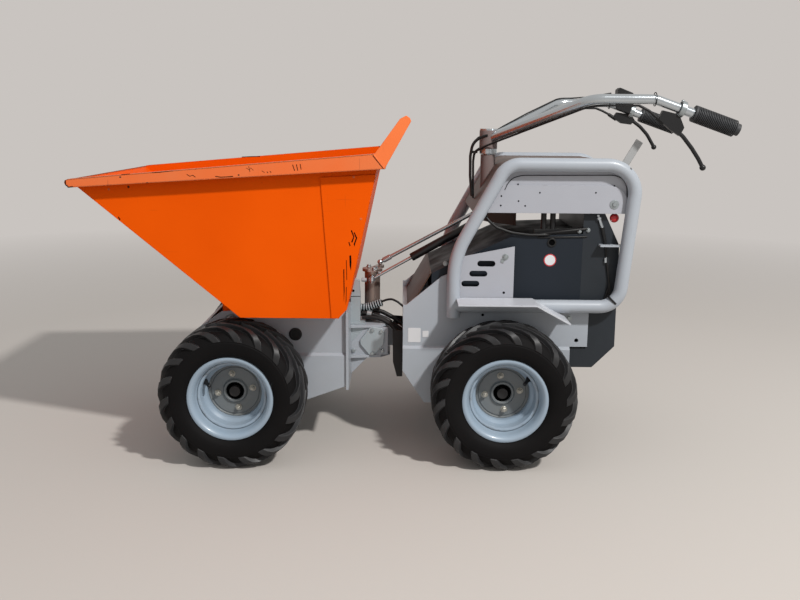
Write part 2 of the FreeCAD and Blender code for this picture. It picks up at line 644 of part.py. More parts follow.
def make_hood():
    """Sheet between the guard loops, pierced by the column."""
    bends = [bend + HOOD_OFFSET for bend in LOOP_BENDS[1:3]]
    depth = HOOD_OFFSET - HOOD_T
    edge_y = LOOP_Y - math.sqrt(LOOP_R ** 2 - depth ** 2) - HOOD_GAP
    sheet = bent_sheet(hood_line(), bends, HOOD_T, -edge_y, edge_y)
    web_top = HOOD_UNDER_Z + HOOD_T / 2
    web = box(WEB_X - 4, WEB_X, 4 - INNER_PANEL_Y, INNER_PANEL_Y - 4, PANEL_LOW_Z, web_top)
    web = web.fuse(box(WEB_X - 4, WEB_X, -WEB_FOOT_Y, WEB_FOOT_Y, WEB_LOW_Z, PANEL_LOW_Z))
    tip_x = DAMPER_REAR_X + 12
    lug = [(WEB_X, WEB_LOW_Z), (WEB_X, WEB_LOW_Z + 50), (DAMPER_REAR_X - 5, DAMPER_REAR_Z + 12),
           (tip_x, DAMPER_REAR_Z + 6), (tip_x, DAMPER_REAR_Z - 10), (DAMPER_REAR_X - 5, DAMPER_REAR_Z - 14)]
    lug = side_plate(lug, ARM_Y + 6, ARM_Y + 11)
    lug = lug.fuse(lug.translated(V(0, -17, 0)))
    hood = fused([sheet, web, lug])
    hood = hood.cut(cyl(COLUMN_X, 0, 600, COLUMN_R, 300))
    hood = hood.cut(cyl(DAMPER_REAR_X, 0, DAMPER_REAR_Z, STUD_R, 120, V(0, 1, 0)))
    slot = side_plate(offset_ring(SIDE_LEVER, -2.0), INNER_PANEL_Y - 7, LOOP_Y)
    return hood.cut(slot)


def make_anchor_pin():
    return cyl(DAMPER_REAR_X, ARM_Y - 11, DAMPER_REAR_Z, STUD_R, 22, V(0, 1, 0))


def make_upper_panel(loop):
    low, high, end_x = PANEL_LOW_Z, PANEL_LOW_Z + 78, -722.0
    back = [(-250.0, high - 14), (-250.0, 900.0), (-800.0, 900.0), (-800.0, low), (-710.0, low),
            (-650.0, high - 14)]
    step_y = INNER_PANEL_Y + PANEL_T
    corner = V(end_x, step_y, high)
    outline = rounded_edges([V(-250, step_y, low), V(-250, step_y, high), corner, V(end_x, step_y, low)],
                            [0.5, PANEL_CORNER_R])
    outline.append(Part.makeLine(V(end_x, step_y, low), V(-250, step_y, low)))
    face = Part.Face(Part.Wire(outline)).extrude(V(0, PANEL_T, 0))
    face = face.common(loop_sheet([(-200.0, 430.0), (-200.0, 900.0), (-800.0, 900.0), (-800.0, 430.0)],
                                  step_y, step_y + PANEL_T))
    rear = loop_sheet(back, INNER_PANEL_Y, step_y)
    return fused([face, rear]).cut(loop)


def make_slotted_panel(loop):
    outline = [(-200.0, 430.0), (-200.0, 565.0), (-282.0, 581.0), (-409.0, 607.0), (-409.0, 430.0)]
    plate = loop_sheet(outline, 213, 213 + PANEL_T)
    for x, z in ((-330, 557), (-308, 528), (-286, 499)):
        slot = [box(x - 17, x + 17, 200, 230, z - 8.5, z + 8.5)]
        slot += [cyl(x + dx, 200, z, 8.5, 30, V(0, 1, 0)) for dx in (-17, 17)]
        plate = plate.cut(fused(slot))
    return plate.cut(loop)


def make_fender():
    """Guard plate over the tyre that bends down behind it."""
    line = [(-556.0, FENDER_Z - 51), (-462.0, FENDER_Z), (LOOP_LEG_X - 8, FENDER_Z)]
    return bent_sheet(line, [12.0], FENDER_T, LOOP_Y, FENDER_OUT_Y)


def make_column():
    tube = cyl(COLUMN_X, 0, COLUMN_LOW_Z, COLUMN_R, COLUMN_TOP_Z - COLUMN_LOW_Z)
    return tube.cut(cyl(COLUMN_X, 0, 600, STEM_R + RUNNING_FIT, 300))


def make_stem():
    """Stem in the column with the steering arm at its foot."""
    arm_z = ROD_REAR_Z + 12
    stem = cyl(COLUMN_X, 0, arm_z, STEM_R, SLEEVE_TOP_Z - 4 - arm_z)
    boss = cyl(COLUMN_X, 0, arm_z, STEM_R + 6, ARM_T)
    stud = cyl(COLUMN_X - ARM_BACK, -ARM_Y, ROD_REAR_Z, STUD_R, 12)
    return fused([stem, boss, rod_arm(COLUMN_X, arm_z), stud])


def bar_points(side):
    grip_end = V(-REAR_REACH + 6, side * BAR_Y, BAR_Z - (REAR_REACH - 6 + BAR_KNEE_X) * BAR_DROP)
    return [V(COLUMN_X - 4, side * 8, BAR_START_Z), V(BAR_BEND_X, side * BAR_Y, BAR_Z),
            V(BAR_KNEE_X, side * BAR_Y, BAR_Z), grip_end]


def make_handlebar():
    sleeve = cyl(COLUMN_X, 0, SLEEVE_LOW_Z, SLEEVE_R, SLEEVE_TOP_Z - SLEEVE_LOW_Z)
    arms = [pipe(bar_points(side), [70.0, 60.0], BAR_R) for side in (1, -1)]
    return fused([sleeve] + arms).cut(cyl(COLUMN_X, 0, 600, STEM_R, SLEEVE_TOP_Z - 4 - 600))


def bar_end(side):
    points = bar_points(side)
    along = (points[3] - points[2]).normalize()
    return points[3], along


def make_grips():
    grips = []
    for side in (1, -1):
        end, along = bar_end(side)
        tip = end + along * (GRIP_CAP - 2)
        body = Part.makeCylinder(GRIP_R, GRIP_LEN, tip, along * -1)
        collar = Part.makeCylinder(GRIP_R + 6, 6, tip - along * (GRIP_LEN - 6), along * -1)
        bar = Part.makeCylinder(BAR_R, GRIP_LEN + 20, end, along * -1)
        grips.append(fused([body, collar]).cut(bar))
    return Part.makeCompound(grips)


def make_levers():
    """Clamp, perch and hand lever under each grip."""
    end, along = bar_end(1)
    seat = end - along * 158
    clamp = Part.makeCylinder(BAR_R + 5, 20, seat, along * -1)
    blade = side_plate([(BAR_KNEE_X + x, BAR_Z + z) for x, z in LEVER], BAR_Y - 8, BAR_Y + 8)
    knob = Part.makeSphere(9, V(BAR_KNEE_X + LEVER_BALL[0], BAR_Y, BAR_Z + LEVER_BALL[1]))
    bar = Part.makeCylinder(BAR_R, 60, seat + along * 20, along * -1)
    piece = fused([clamp, blade, knob]).cut(bar)
    return Part.makeCompound(both(piece))


def make_bar_cables():
    """Control cables held under the bar's two arms, from the levers to the sleeve."""
    drop = V(0, 0, -BAR_R - CABLE_R - 1.0)
    cables = []
    for side in (1, -1):
        sleeve, bend, knee, _ = [point + drop for point in bar_points(side)]
        start = knee + (bend - knee) * 0.25
        end = sleeve + (bend - sleeve) * 0.3
        cables.append(pipe([start, bend, end], [90.0], CABLE_R))
    return Part.makeCompound(cables)


def make_cover_cable():
    """Cable that runs down the rear cover's left side from the hood's panel."""
    y = HOUSING_Y + CABLE_R + 0.3
    route = [V(-643.6, y, 690), V(-668.0, y, 634), V(-675.0, y, 566), V(-687.0, y, 496), V(-676.0, y, 450)]
    return pipe(route, [70.0, 120.0, 45.0], CABLE_R)


def make_switch_box():
    body = box(BAR_KNEE_X - 52, BAR_KNEE_X - 8, -BAR_Y - 18, -BAR_Y + 18, BAR_Z - 11, BOX_TOP_Z)
    bar = pipe(bar_points(-1), [70.0, 60.0], BAR_R)
    return body.cut(bar)


def make_side_lever():
    """Flat hand lever that turns on a boss of the left panel and stands out through the hood."""
    blade = side_plate(SIDE_LEVER, INNER_PANEL_Y - 5, INNER_PANEL_Y - 1.5)
    boss = cyl(LEVER_PIVOT[0], INNER_PANEL_Y - 5, LEVER_PIVOT[1], 7, 5, V(0, 1, 0))
    return blade.fuse(boss).removeSplitter()


def make_stop_knob(hood):
    x, low = LEVER_PIVOT[0] - 15, LEVER_PIVOT[1] - 47
    stem = cyl(x, 184, low + 9, 5, HOOD_UNDER_Z - 8 - low - 9)
    return fused([stem, cyl(x, 184, low, 13, 12)]).cut(hood)


def make_latch_bar():
    """Bar on the housing's left top edge with two posts up to the hood."""
    (ax, az), (bx, bz) = HOUSING_SIDE[3:5]
    ends = [(x, az + (x - ax) * (bz - az) / (bx - ax)) for x in (HOUSING_REAR_X + 137, HOUSING_REAR_X + 2)]
    bar = side_plate(ends + [(x, z + 16) for x, z in ends[::-1]], HOUSING_Y - 24, HOUSING_Y - 8)
    foot_z = HOUSING_TOP_Z + 4
    posts = [cyl(HOUSING_REAR_X + dx, HOUSING_Y - 16, foot_z, 8, HOOD_UNDER_Z - foot_z) for dx in (85, 111)]
    return fused([bar] + posts)


def rim_z(x):
    return RIM_FRONT_Z + (FRONT_REACH - x) * RIM_SLOPE


def nose_z(x):
    """Height of the skip's sloping nose at x."""
    rise = rim_z(SKIP_FRONT_X) - NOSE_LIP_H - SKIP_FLOOR_Z
    return SKIP_FLOOR_Z + (x - SKIP_NOSE_X) * rise / (SKIP_FRONT_X - SKIP_NOSE_X)


def skip_outline():
    """Side outline of the skip's shell, clockwise as seen from the left."""
    return [(SKIP_HEEL_X, SKIP_FLOOR_Z), SKIP_CHAMFER, (SKIP_REAR_TOP_X, rim_z(SKIP_REAR_TOP_X)),
            (SKIP_FRONT_X, rim_z(SKIP_FRONT_X)), (SKIP_FRONT_X, nose_z(SKIP_FRONT_X)),
            (SKIP_NOSE_X, SKIP_FLOOR_Z)]


def make_skip():
    outline = skip_outline()
    body = side_plate(outline, -SKIP_Y, SKIP_Y)
    heel, chamfer, wall, _, lip, nose = offset_ring(outline, -SKIP_T)
    mouth_z = RIM_FRONT_Z + 155
    above = ((0.0, mouth_z), (1.0, mouth_z))
    mouth = [crossing(chamfer, wall, *above), crossing(nose, lip, *above)]
    return body.cut(side_plate([heel, chamfer] + mouth + [nose], SKIP_T - SKIP_Y, SKIP_Y - SKIP_T))


def make_rim_band():
    """Folded rim round the skip's sides and rear, with a deeper apron towards the rear."""
    front_x = FRONT_REACH - LIP_R
    front_z, rear_z = rim_z(front_x), rim_z(RIM_REAR_X)
    apron = [(front_x, front_z), (front_x, front_z - APRON_FRONT_H), (RIM_REAR_X, rear_z - APRON_REAR_H),
             (RIM_REAR_X, rear_z)]
    top = [(front_x, front_z), (front_x, front_z - SKIP_T), (RIM_REAR_X, rear_z - SKIP_T),
           (RIM_REAR_X, rear_z)]
    side = side_plate(apron, RIM_OUT_Y - SKIP_T, RIM_OUT_Y).fuse(side_plate(top, SKIP_Y, RIM_OUT_Y))
    ledge_x = RIM_REAR_X + 34
    back = [(RIM_REAR_X, rear_z - APRON_REAR_H), (RIM_REAR_X, rear_z), (ledge_x, rim_z(ledge_x)),
            (ledge_x, rim_z(ledge_x) - SKIP_T), (RIM_REAR_X + SKIP_T, rear_z - SKIP_T),
            (RIM_REAR_X + SKIP_T, rear_z - APRON_REAR_H)]
    rear = side_plate(back, -RIM_OUT_Y, RIM_OUT_Y)
    lip = cyl(FRONT_REACH - LIP_R, -RIM_OUT_Y, rim_z(FRONT_REACH) - LIP_R, LIP_R, 2 * RIM_OUT_Y, V(0, 1, 0))
    band = fused(both(side) + [rear, lip])
    return band.cut(side_plate(skip_outline(), -SKIP_Y, SKIP_Y))


def make_spill_guard():
    """Upstand that leans back over the skip's rear rim, with a cheek at each end."""
    top_x, top_z = GUARD_TOP
    foot = (-34.0, rim_z(-34.0))
    line = [foot, (-22.0, rim_z(-22.0)), (top_x + 16, top_z - 8), (top_x, top_z), (top_x - 10, top_z - 6),
            (top_x - 12, top_z - 18)]
    plate = side_plate([foot, (-30.0, rim_z(-30.0)), (top_x - 8, top_z - 14), (top_x - 12, top_z - 18)],
                       -GUARD_Y, GUARD_Y)
    fold = [(top_x + 2, top_z), (top_x - 10, top_z - 6), (top_x - 12, top_z - 18), (top_x, top_z - 10)]
    hem = side_plate(fold, -GUARD_Y, GUARD_Y)
    cheeks = both(side_plate(line, GUARD_Y - 4, GUARD_Y))
    return fused([plate, hem] + cheeks)


def make_corners():
    """Raised panels round the skip's two rear corners."""
    panel = [(100.0, SKIP_FLOOR_Z + 1), (SKIP_HEEL_X, SKIP_FLOOR_Z + 1), SKIP_CHAMFER] + CORNER_TOP
    return Part.makeCompound(both(side_plate(panel, SKIP_Y, SKIP_Y + 3)))


def make_hinges():
    """Lugs under the skip's nose for the tipping pins."""
    lug = [(300.0, SKIP_FLOOR_Z), (SKIP_NOSE_X, SKIP_FLOOR_Z), (440.0, nose_z(440.0)),
           (HINGE_X + 22, HINGE_Z), (HINGE_X, HINGE_Z - 20), (HINGE_X - 22, HINGE_Z)]
    ear_in = PLATE_Y - PLATE_T - JOGGLE - PLATE_T - 10
    plate = side_plate(lug, ear_in - 10, ear_in).fuse(cyl(HINGE_X, ear_in - 10, HINGE_Z, 22, 10, V(0, 1, 0)))
    plate = plate.removeSplitter().cut(cyl(HINGE_X, 100, HINGE_Z, HINGE_PIN_R + RUNNING_FIT, 200, V(0, 1, 0)))
    return Part.makeCompound(both(plate))


def make_hinge_pins():
    ear_out = PLATE_Y - JOGGLE
    pin = cyl(HINGE_X, ear_out - 40, HINGE_Z, HINGE_PIN_R, 40, V(0, 1, 0))
    head = cyl(HINGE_X, ear_out, HINGE_Z, HINGE_PIN_R + 5, 5, V(0, 1, 0))
    return Part.makeCompound(both(pin.fuse(head)))


def make_rests():
    """Rubber buffers between the front deck and the skip's floor."""
    height = SKIP_FLOOR_Z - FRONT_TOP_Z
    blocks = [cyl(x, y, FRONT_TOP_Z, 15, height) for x in (110, 300) for y in (-150, 150)]
    return Part.makeCompound(blocks)


def main():
    os.makedirs("parts", exist_ok=True)
    save_wheels()
    loop = make_loop()
    hood = make_hood()
    pieces = {
        "front_chassis": make_front_chassis(), "front_axle": make_axle(AXLE_X),
        "pivot_bracket": make_pivot_bracket(), "articulation_pin": make_pin(),
        "pivot_covers": make_hex_covers(), "steering_post": make_post(), "skip_latch": make_latch(),
        "hinge_pins": make_hinge_pins(), "skip_rests": make_rests(),
        "steering_rod": make_rod(), "damper_tube": make_damper_tube(), "damper_rod": make_damper_rod(),
        "rear_chassis": make_rear_chassis(), "rear_axle": make_axle(-AXLE_X), "pivot_tongue": make_tongue(),
        "housing_cover": make_housing(), "rear_cover": make_rear_cover(), "battery": make_battery(),
        "guard_loop_left": loop, "guard_loop_right": mirrored(loop), "hood": hood,
        "damper_anchor_pin": make_anchor_pin(),
        "upper_panel_left": make_upper_panel(loop), "slotted_panel_left": make_slotted_panel(loop),
        "fender_left": make_fender().cut(loop),
        "column": make_column(), "steering_stem": make_stem(), "handlebar": make_handlebar(),
        "bar_cables": make_bar_cables(), "cover_cable": make_cover_cable(),
        "front_slope": make_front_slope(), "grips": make_grips(), "hand_levers": make_levers(), "switch_box": make_switch_box(),
        "side_lever": make_side_lever(), "stop_knob": make_stop_knob(hood), "cover_latch": make_latch_bar(),
        "skip_shell": make_skip(), "skip_rim": make_rim_band(), "spill_guard": make_spill_guard(),
        "skip_corners": make_corners(), "skip_hinges": make_hinges(),
    }
    for name in ("upper_panel", "slotted_panel", "fender"):
        pieces[name + "_right"] = mirrored(pieces[name + "_left"])
    for name, shape in pieces.items():
        save(name, shape)


main()
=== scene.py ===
"""Dresses the walk-behind site dumper: finishes, fasteners, controls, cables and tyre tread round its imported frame."""
import sys
import logging
import math
from dataclasses import dataclass, field
from enum import Enum

import bmesh
import bpy
from mathutils import Matrix, Vector


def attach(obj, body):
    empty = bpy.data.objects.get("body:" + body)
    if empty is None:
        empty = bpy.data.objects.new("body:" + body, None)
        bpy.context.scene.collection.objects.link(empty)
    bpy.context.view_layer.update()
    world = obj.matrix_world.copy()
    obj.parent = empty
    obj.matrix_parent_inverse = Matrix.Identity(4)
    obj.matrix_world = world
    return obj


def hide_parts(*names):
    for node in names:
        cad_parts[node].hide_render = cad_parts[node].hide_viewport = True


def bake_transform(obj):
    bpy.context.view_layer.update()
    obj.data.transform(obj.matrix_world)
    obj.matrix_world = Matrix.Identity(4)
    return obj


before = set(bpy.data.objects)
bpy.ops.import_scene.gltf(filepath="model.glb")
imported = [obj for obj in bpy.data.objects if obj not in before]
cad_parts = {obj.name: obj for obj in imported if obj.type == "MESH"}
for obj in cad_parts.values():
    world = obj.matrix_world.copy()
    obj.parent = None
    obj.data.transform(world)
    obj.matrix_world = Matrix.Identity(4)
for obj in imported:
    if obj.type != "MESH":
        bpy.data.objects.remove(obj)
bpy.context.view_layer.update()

LOG = logging.getLogger("site_dumper")

Point = tuple[float, float, float]
Flat = tuple[float, float]

MM = 0.001
# The steering axis stands this far ahead of the frame's origin, in millimetres.
PIVOT_X = 102.5
AXLE_X = 376.5
WHEEL_Y = 312.5
WHEEL_R = 203.0


class Plane(Enum):
    """Which way a flat outline faces before it is given its thickness."""

    SIDE = "outline in x and z, thickness along y"
    PLAN = "outline in x and y, thickness along z"
    FRONT = "outline in y and z, thickness along x"


def row_point(point: Point) -> Vector:
    """Turns a point in millimetres from the steering axis into metres of the frame.

    Args:
        point: x forward, y to the left and z up, in millimetres.

    Returns:
        The same point in the frame, in metres.
    """
    x, y, z = point
    return Vector(((x + PIVOT_X) * MM, y * MM, z * MM))


def linear(hex_colour: str) -> tuple[float, float, float, float]:
    """Turns a written colour into the shader's own values.

    Args:
        hex_colour: Six hexadecimal digits.

    Returns:
        Red, green, blue and an alpha of 1.
    """
    shares = [int(hex_colour[i:i + 2], 16) / 255 for i in (0, 2, 4)]
    values = [c / 12.92 if c <= 0.04045 else ((c + 0.055) / 1.055) ** 2.4 for c in shares]
    return (values[0], values[1], values[2], 1.0)


class EffectGroup:
    """A shader node group under construction, with named inputs and outputs."""

    def __init__(self, name: str, inputs: dict[str, object], outputs: dict[str, str]) -> None:
        """Starts the group.

        Args:
            name: The group's name.
            inputs: Input names with their default values; None stands for a vector.
            outputs: Output names with their socket kinds.
        """
        self.tree = bpy.data.node_groups.new(name, "ShaderNodeTree")
        for label, default in inputs.items():
            kind = "NodeSocketVector" if default is None else "NodeSocketFloat"
            kind = "NodeSocketColor" if isinstance(default, tuple) else kind
            socket = self.tree.interface.new_socket(label, in_out="INPUT", socket_type=kind)
            if default is not None:
                socket.default_value = default
        for label, kind in outputs.items():
            self.tree.interface.new_socket(label, in_out="OUTPUT", socket_type=kind)
        self.source = self.tree.nodes.new("NodeGroupInput").outputs
        self.result = self.tree.nodes.new("NodeGroupOutput").inputs

    def wire(self, value: object, target: bpy.types.NodeSocket) -> None:
        """Feeds a socket from another one or from a plain value."""
        feed(self.tree, value, target)

    def maths(self, kind: str, *values: object) -> bpy.types.NodeSocket:
        """Adds one step of arithmetic and returns its result."""
        return maths(self.tree, kind, *values)

    def noise(self, vector: object, scale: object, detail: float = 3.0) -> bpy.types.NodeSocket:
        """Adds a soft random pattern and returns its value."""
        return noise(self.tree, vector, scale, detail)

    def ramp(self, value: object, low: object, high: object) -> bpy.types.NodeSocket:
        """Stretches a value so that low gives 0 and high gives 1."""
        return ramp(self.tree, value, low, high)


def feed(tree: bpy.types.NodeTree, value: object, target: bpy.types.NodeSocket) -> None:
    """Links a socket into the target, or writes a plain value on it.

    Args:
        tree: The node tree that holds both.
        value: A socket, a number or a colour.
        target: The input that takes it.
    """
    if isinstance(value, bpy.types.NodeSocket):
        tree.links.new(value, target)
    else:
        target.default_value = value


def maths(tree: bpy.types.NodeTree, kind: str, *values: object) -> bpy.types.NodeSocket:
    """Adds one clamped-off step of arithmetic.

    Args:
        tree: The node tree.
        kind: The operation's name.
        values: Its operands, as sockets or numbers.

    Returns:
        The result's socket.
    """
    node = tree.nodes.new("ShaderNodeMath")
    node.operation = kind
    for socket, value in zip(node.inputs, values):
        feed(tree, value, socket)
    return node.outputs[0]


def noise(tree: bpy.types.NodeTree, vector: object, scale: object, detail: float) -> bpy.types.NodeSocket:
    """Adds a soft random pattern.

    Args:
        tree: The node tree.
        vector: The place to read it at.
        scale: Repeats per metre.
        detail: How many finer layers it has.

    Returns:
        The pattern's value.
    """
    node = tree.nodes.new("ShaderNodeTexNoise")
    node.inputs["Detail"].default_value = detail
    feed(tree, vector, node.inputs["Vector"])
    feed(tree, scale, node.inputs["Scale"])
    return node.outputs["Fac"]


def ramp(tree: bpy.types.NodeTree, value: object, low: object, high: object) -> bpy.types.NodeSocket:
    """Stretches a value so that low gives 0 and high gives 1.

    Args:
        tree: The node tree.
        value: What is stretched.
        low: The value that gives 0.
        high: The value that gives 1.

    Returns:
        The stretched value, held between 0 and 1.
    """
    node = tree.nodes.new("ShaderNodeMapRange")
    feed(tree, value, node.inputs["Value"])
    feed(tree, low, node.inputs["From Min"])
    feed(tree, high, node.inputs["From Max"])
    return node.outputs["Result"]


def mixed(tree: bpy.types.NodeTree, share: object, first: object, second: object) -> bpy.types.NodeSocket:
    """Mixes two colours.

    Args:
        tree: The node tree.
        share: 0 for the first colour, 1 for the second.
        first: A colour or its socket.
        second: A colour or its socket.

    Returns:
        The mixed colour's socket.
    """
    node = tree.nodes.new("ShaderNodeMix")
    node.data_type = "RGBA"
    feed(tree, share, node.inputs["Factor"])
    feed(tree, first, node.inputs[6])
    feed(tree, second, node.inputs[7])
    return node.outputs[2]


class Effects:
    """The surface effects that the finishes share, each built once."""

    def __init__(self) -> None:
        """Builds the groups."""
        self.clouds = self._clouds()
        self.worn_edge = self._worn_edge()
        self.scuffs = self._scuffs()
        self.dirt_and_top_shade = self._dirt_and_top_shade()
        self.relief = self._relief()
        self.speckle = self._speckle()

    def _clouds(self) -> bpy.types.NodeTree:
        """Slow drifts between two close colours."""
        group = EffectGroup("colour_clouds",
                            {"Vector": None, "Scale": 6.0, "Share": 0.5, "First": (1.0, 1.0, 1.0, 1.0),
                             "Second": (1.0, 1.0, 1.0, 1.0)}, {"Colour": "NodeSocketColor"})
        wide = group.noise(group.source["Vector"], group.source["Scale"], 4.0)
        share = group.maths("MULTIPLY", group.ramp(wide, 0.3, 0.7), group.source["Share"])
        group.wire(mixed(group.tree, share, group.source["First"], group.source["Second"]), group.result["Colour"])
        return group.tree

    def _worn_edge(self) -> bpy.types.NodeTree:
        """A mask along sharp edges, broken up by a pattern."""
        group = EffectGroup("worn_edge", {"Vector": None, "Width": 0.002, "Amount": 0.5, "Breakup": 40.0},
                            {"Mask": "NodeSocketFloat"})
        rounded = group.tree.nodes.new("ShaderNodeBevel")
        rounded.samples = 4
        group.wire(group.source["Width"], rounded.inputs["Radius"])
        shape = group.tree.nodes.new("ShaderNodeNewGeometry")
        dot = group.tree.nodes.new("ShaderNodeVectorMath")
        dot.operation = "DOT_PRODUCT"
        group.wire(rounded.outputs["Normal"], dot.inputs[0])
        group.wire(shape.outputs["Normal"], dot.inputs[1])
        edge = group.ramp(group.maths("SUBTRACT", 1.0, dot.outputs["Value"]), 0.02, 0.2)
        broken = group.noise(group.source["Vector"], group.source["Breakup"], 5.0)
        limit = group.maths("SUBTRACT", 1.0, group.source["Amount"])
        patch = group.ramp(broken, group.maths("MULTIPLY", limit, 0.62), group.maths("ADD", limit, 0.02))
        group.wire(group.maths("MULTIPLY", edge, patch), group.result["Mask"])
        return group.tree

    def _scuffs(self) -> bpy.types.NodeTree:
        """Thin crossing scratches with a few broader rubbed marks."""
        group = EffectGroup("scuffs", {"Vector": None, "Amount": 0.3, "Length": 1.0}, {"Mask": "NodeSocketFloat"})
        lines = None
        for turn, stretch in ((0.35, (260.0, 260.0, 9.0)), (-0.9, (9.0, 200.0, 240.0))):
            mapping = group.tree.nodes.new("ShaderNodeMapping")
            mapping.inputs["Rotation"].default_value = (turn, turn * 0.7, turn)
            mapping.inputs["Scale"].default_value = stretch
            group.wire(group.source["Vector"], mapping.inputs["Vector"])
            streak = group.noise(mapping.outputs["Vector"], group.source["Length"], 1.0)
            line = group.ramp(streak, 0.735, 0.775)
            lines = line if lines is None else group.maths("MAXIMUM", lines, line)
        place = group.ramp(group.noise(group.source["Vector"], 5.0, 2.0), 0.46, 0.66)
        group.wire(group.maths("MULTIPLY", group.maths("MULTIPLY", lines, place), group.source["Amount"]),
                   group.result["Mask"])
        return group.tree

    def _dirt_and_top_shade(self) -> bpy.types.NodeTree:
        """Dust that lies on upward faces and clings low down; given a dark colour, it paints shade on upward faces."""
        group = EffectGroup("settled_dirt_and_top_shade", {"Vector": None, "Amount": 0.3, "Reach": 0.5},
                            {"Mask": "NodeSocketFloat"})
        split = group.tree.nodes.new("ShaderNodeSeparateXYZ")
        group.wire(group.source["Vector"], split.inputs["Vector"])
        low = group.ramp(split.outputs["Z"], group.source["Reach"], 0.0)
        shape = group.tree.nodes.new("ShaderNodeNewGeometry")
        facing = group.tree.nodes.new("ShaderNodeSeparateXYZ")
        group.wire(shape.outputs["Normal"], facing.inputs["Vector"])
        top = group.ramp(facing.outputs["Z"], 0.55, 1.0)
        where = group.maths("ADD", group.maths("MULTIPLY", low, 0.75), group.maths("MULTIPLY", top, 0.35))
        patch = group.ramp(group.noise(group.source["Vector"], 14.0, 6.0), 0.32, 0.72)
        mask = group.maths("MULTIPLY", group.maths("MULTIPLY", where, patch), group.source["Amount"])
        group.wire(group.maths("MINIMUM", mask, 1.0), group.result["Mask"])
        return group.tree

    def _relief(self) -> bpy.types.NodeTree:
        """The fine unevenness of paint, moulding or casting."""
        group = EffectGroup("fine_relief", {"Vector": None, "Scale": 400.0, "Waviness": 0.3},
                            {"Height": "NodeSocketFloat"})
        fine = group.noise(group.source["Vector"], group.source["Scale"], 2.0)
        broad = group.noise(group.source["Vector"], group.maths("MULTIPLY", group.source["Scale"], 0.12), 1.0)
        waves = group.maths("MULTIPLY", broad, group.source["Waviness"])
        group.wire(group.maths("ADD", fine, waves), group.result["Height"])
        return group.tree

    def _speckle(self) -> bpy.types.NodeTree:
        """Small separate chips scattered over a surface."""
        group = EffectGroup("chips", {"Vector": None, "Scale": 30.0, "Amount": 0.2}, {"Mask": "NodeSocketFloat"})
        cells = group.tree.nodes.new("ShaderNodeTexVoronoi")
        group.wire(group.source["Vector"], cells.inputs["Vector"])
        group.wire(group.source["Scale"], cells.inputs["Scale"])
        ragged = group.maths("MULTIPLY", group.noise(group.source["Vector"], 160.0, 3.0), 0.25)
        near = group.maths("ADD", cells.outputs["Distance"], ragged)
        spot = group.ramp(near, 0.27, 0.22)
        rare = group.tree.nodes.new("ShaderNodeSeparateColor")
        group.wire(cells.outputs["Color"], rare.inputs["Color"])
        chosen = group.maths("LESS_THAN", rare.outputs[0], group.source["Amount"])
        group.wire(group.maths("MULTIPLY", spot, chosen), group.result["Mask"])
        return group.tree


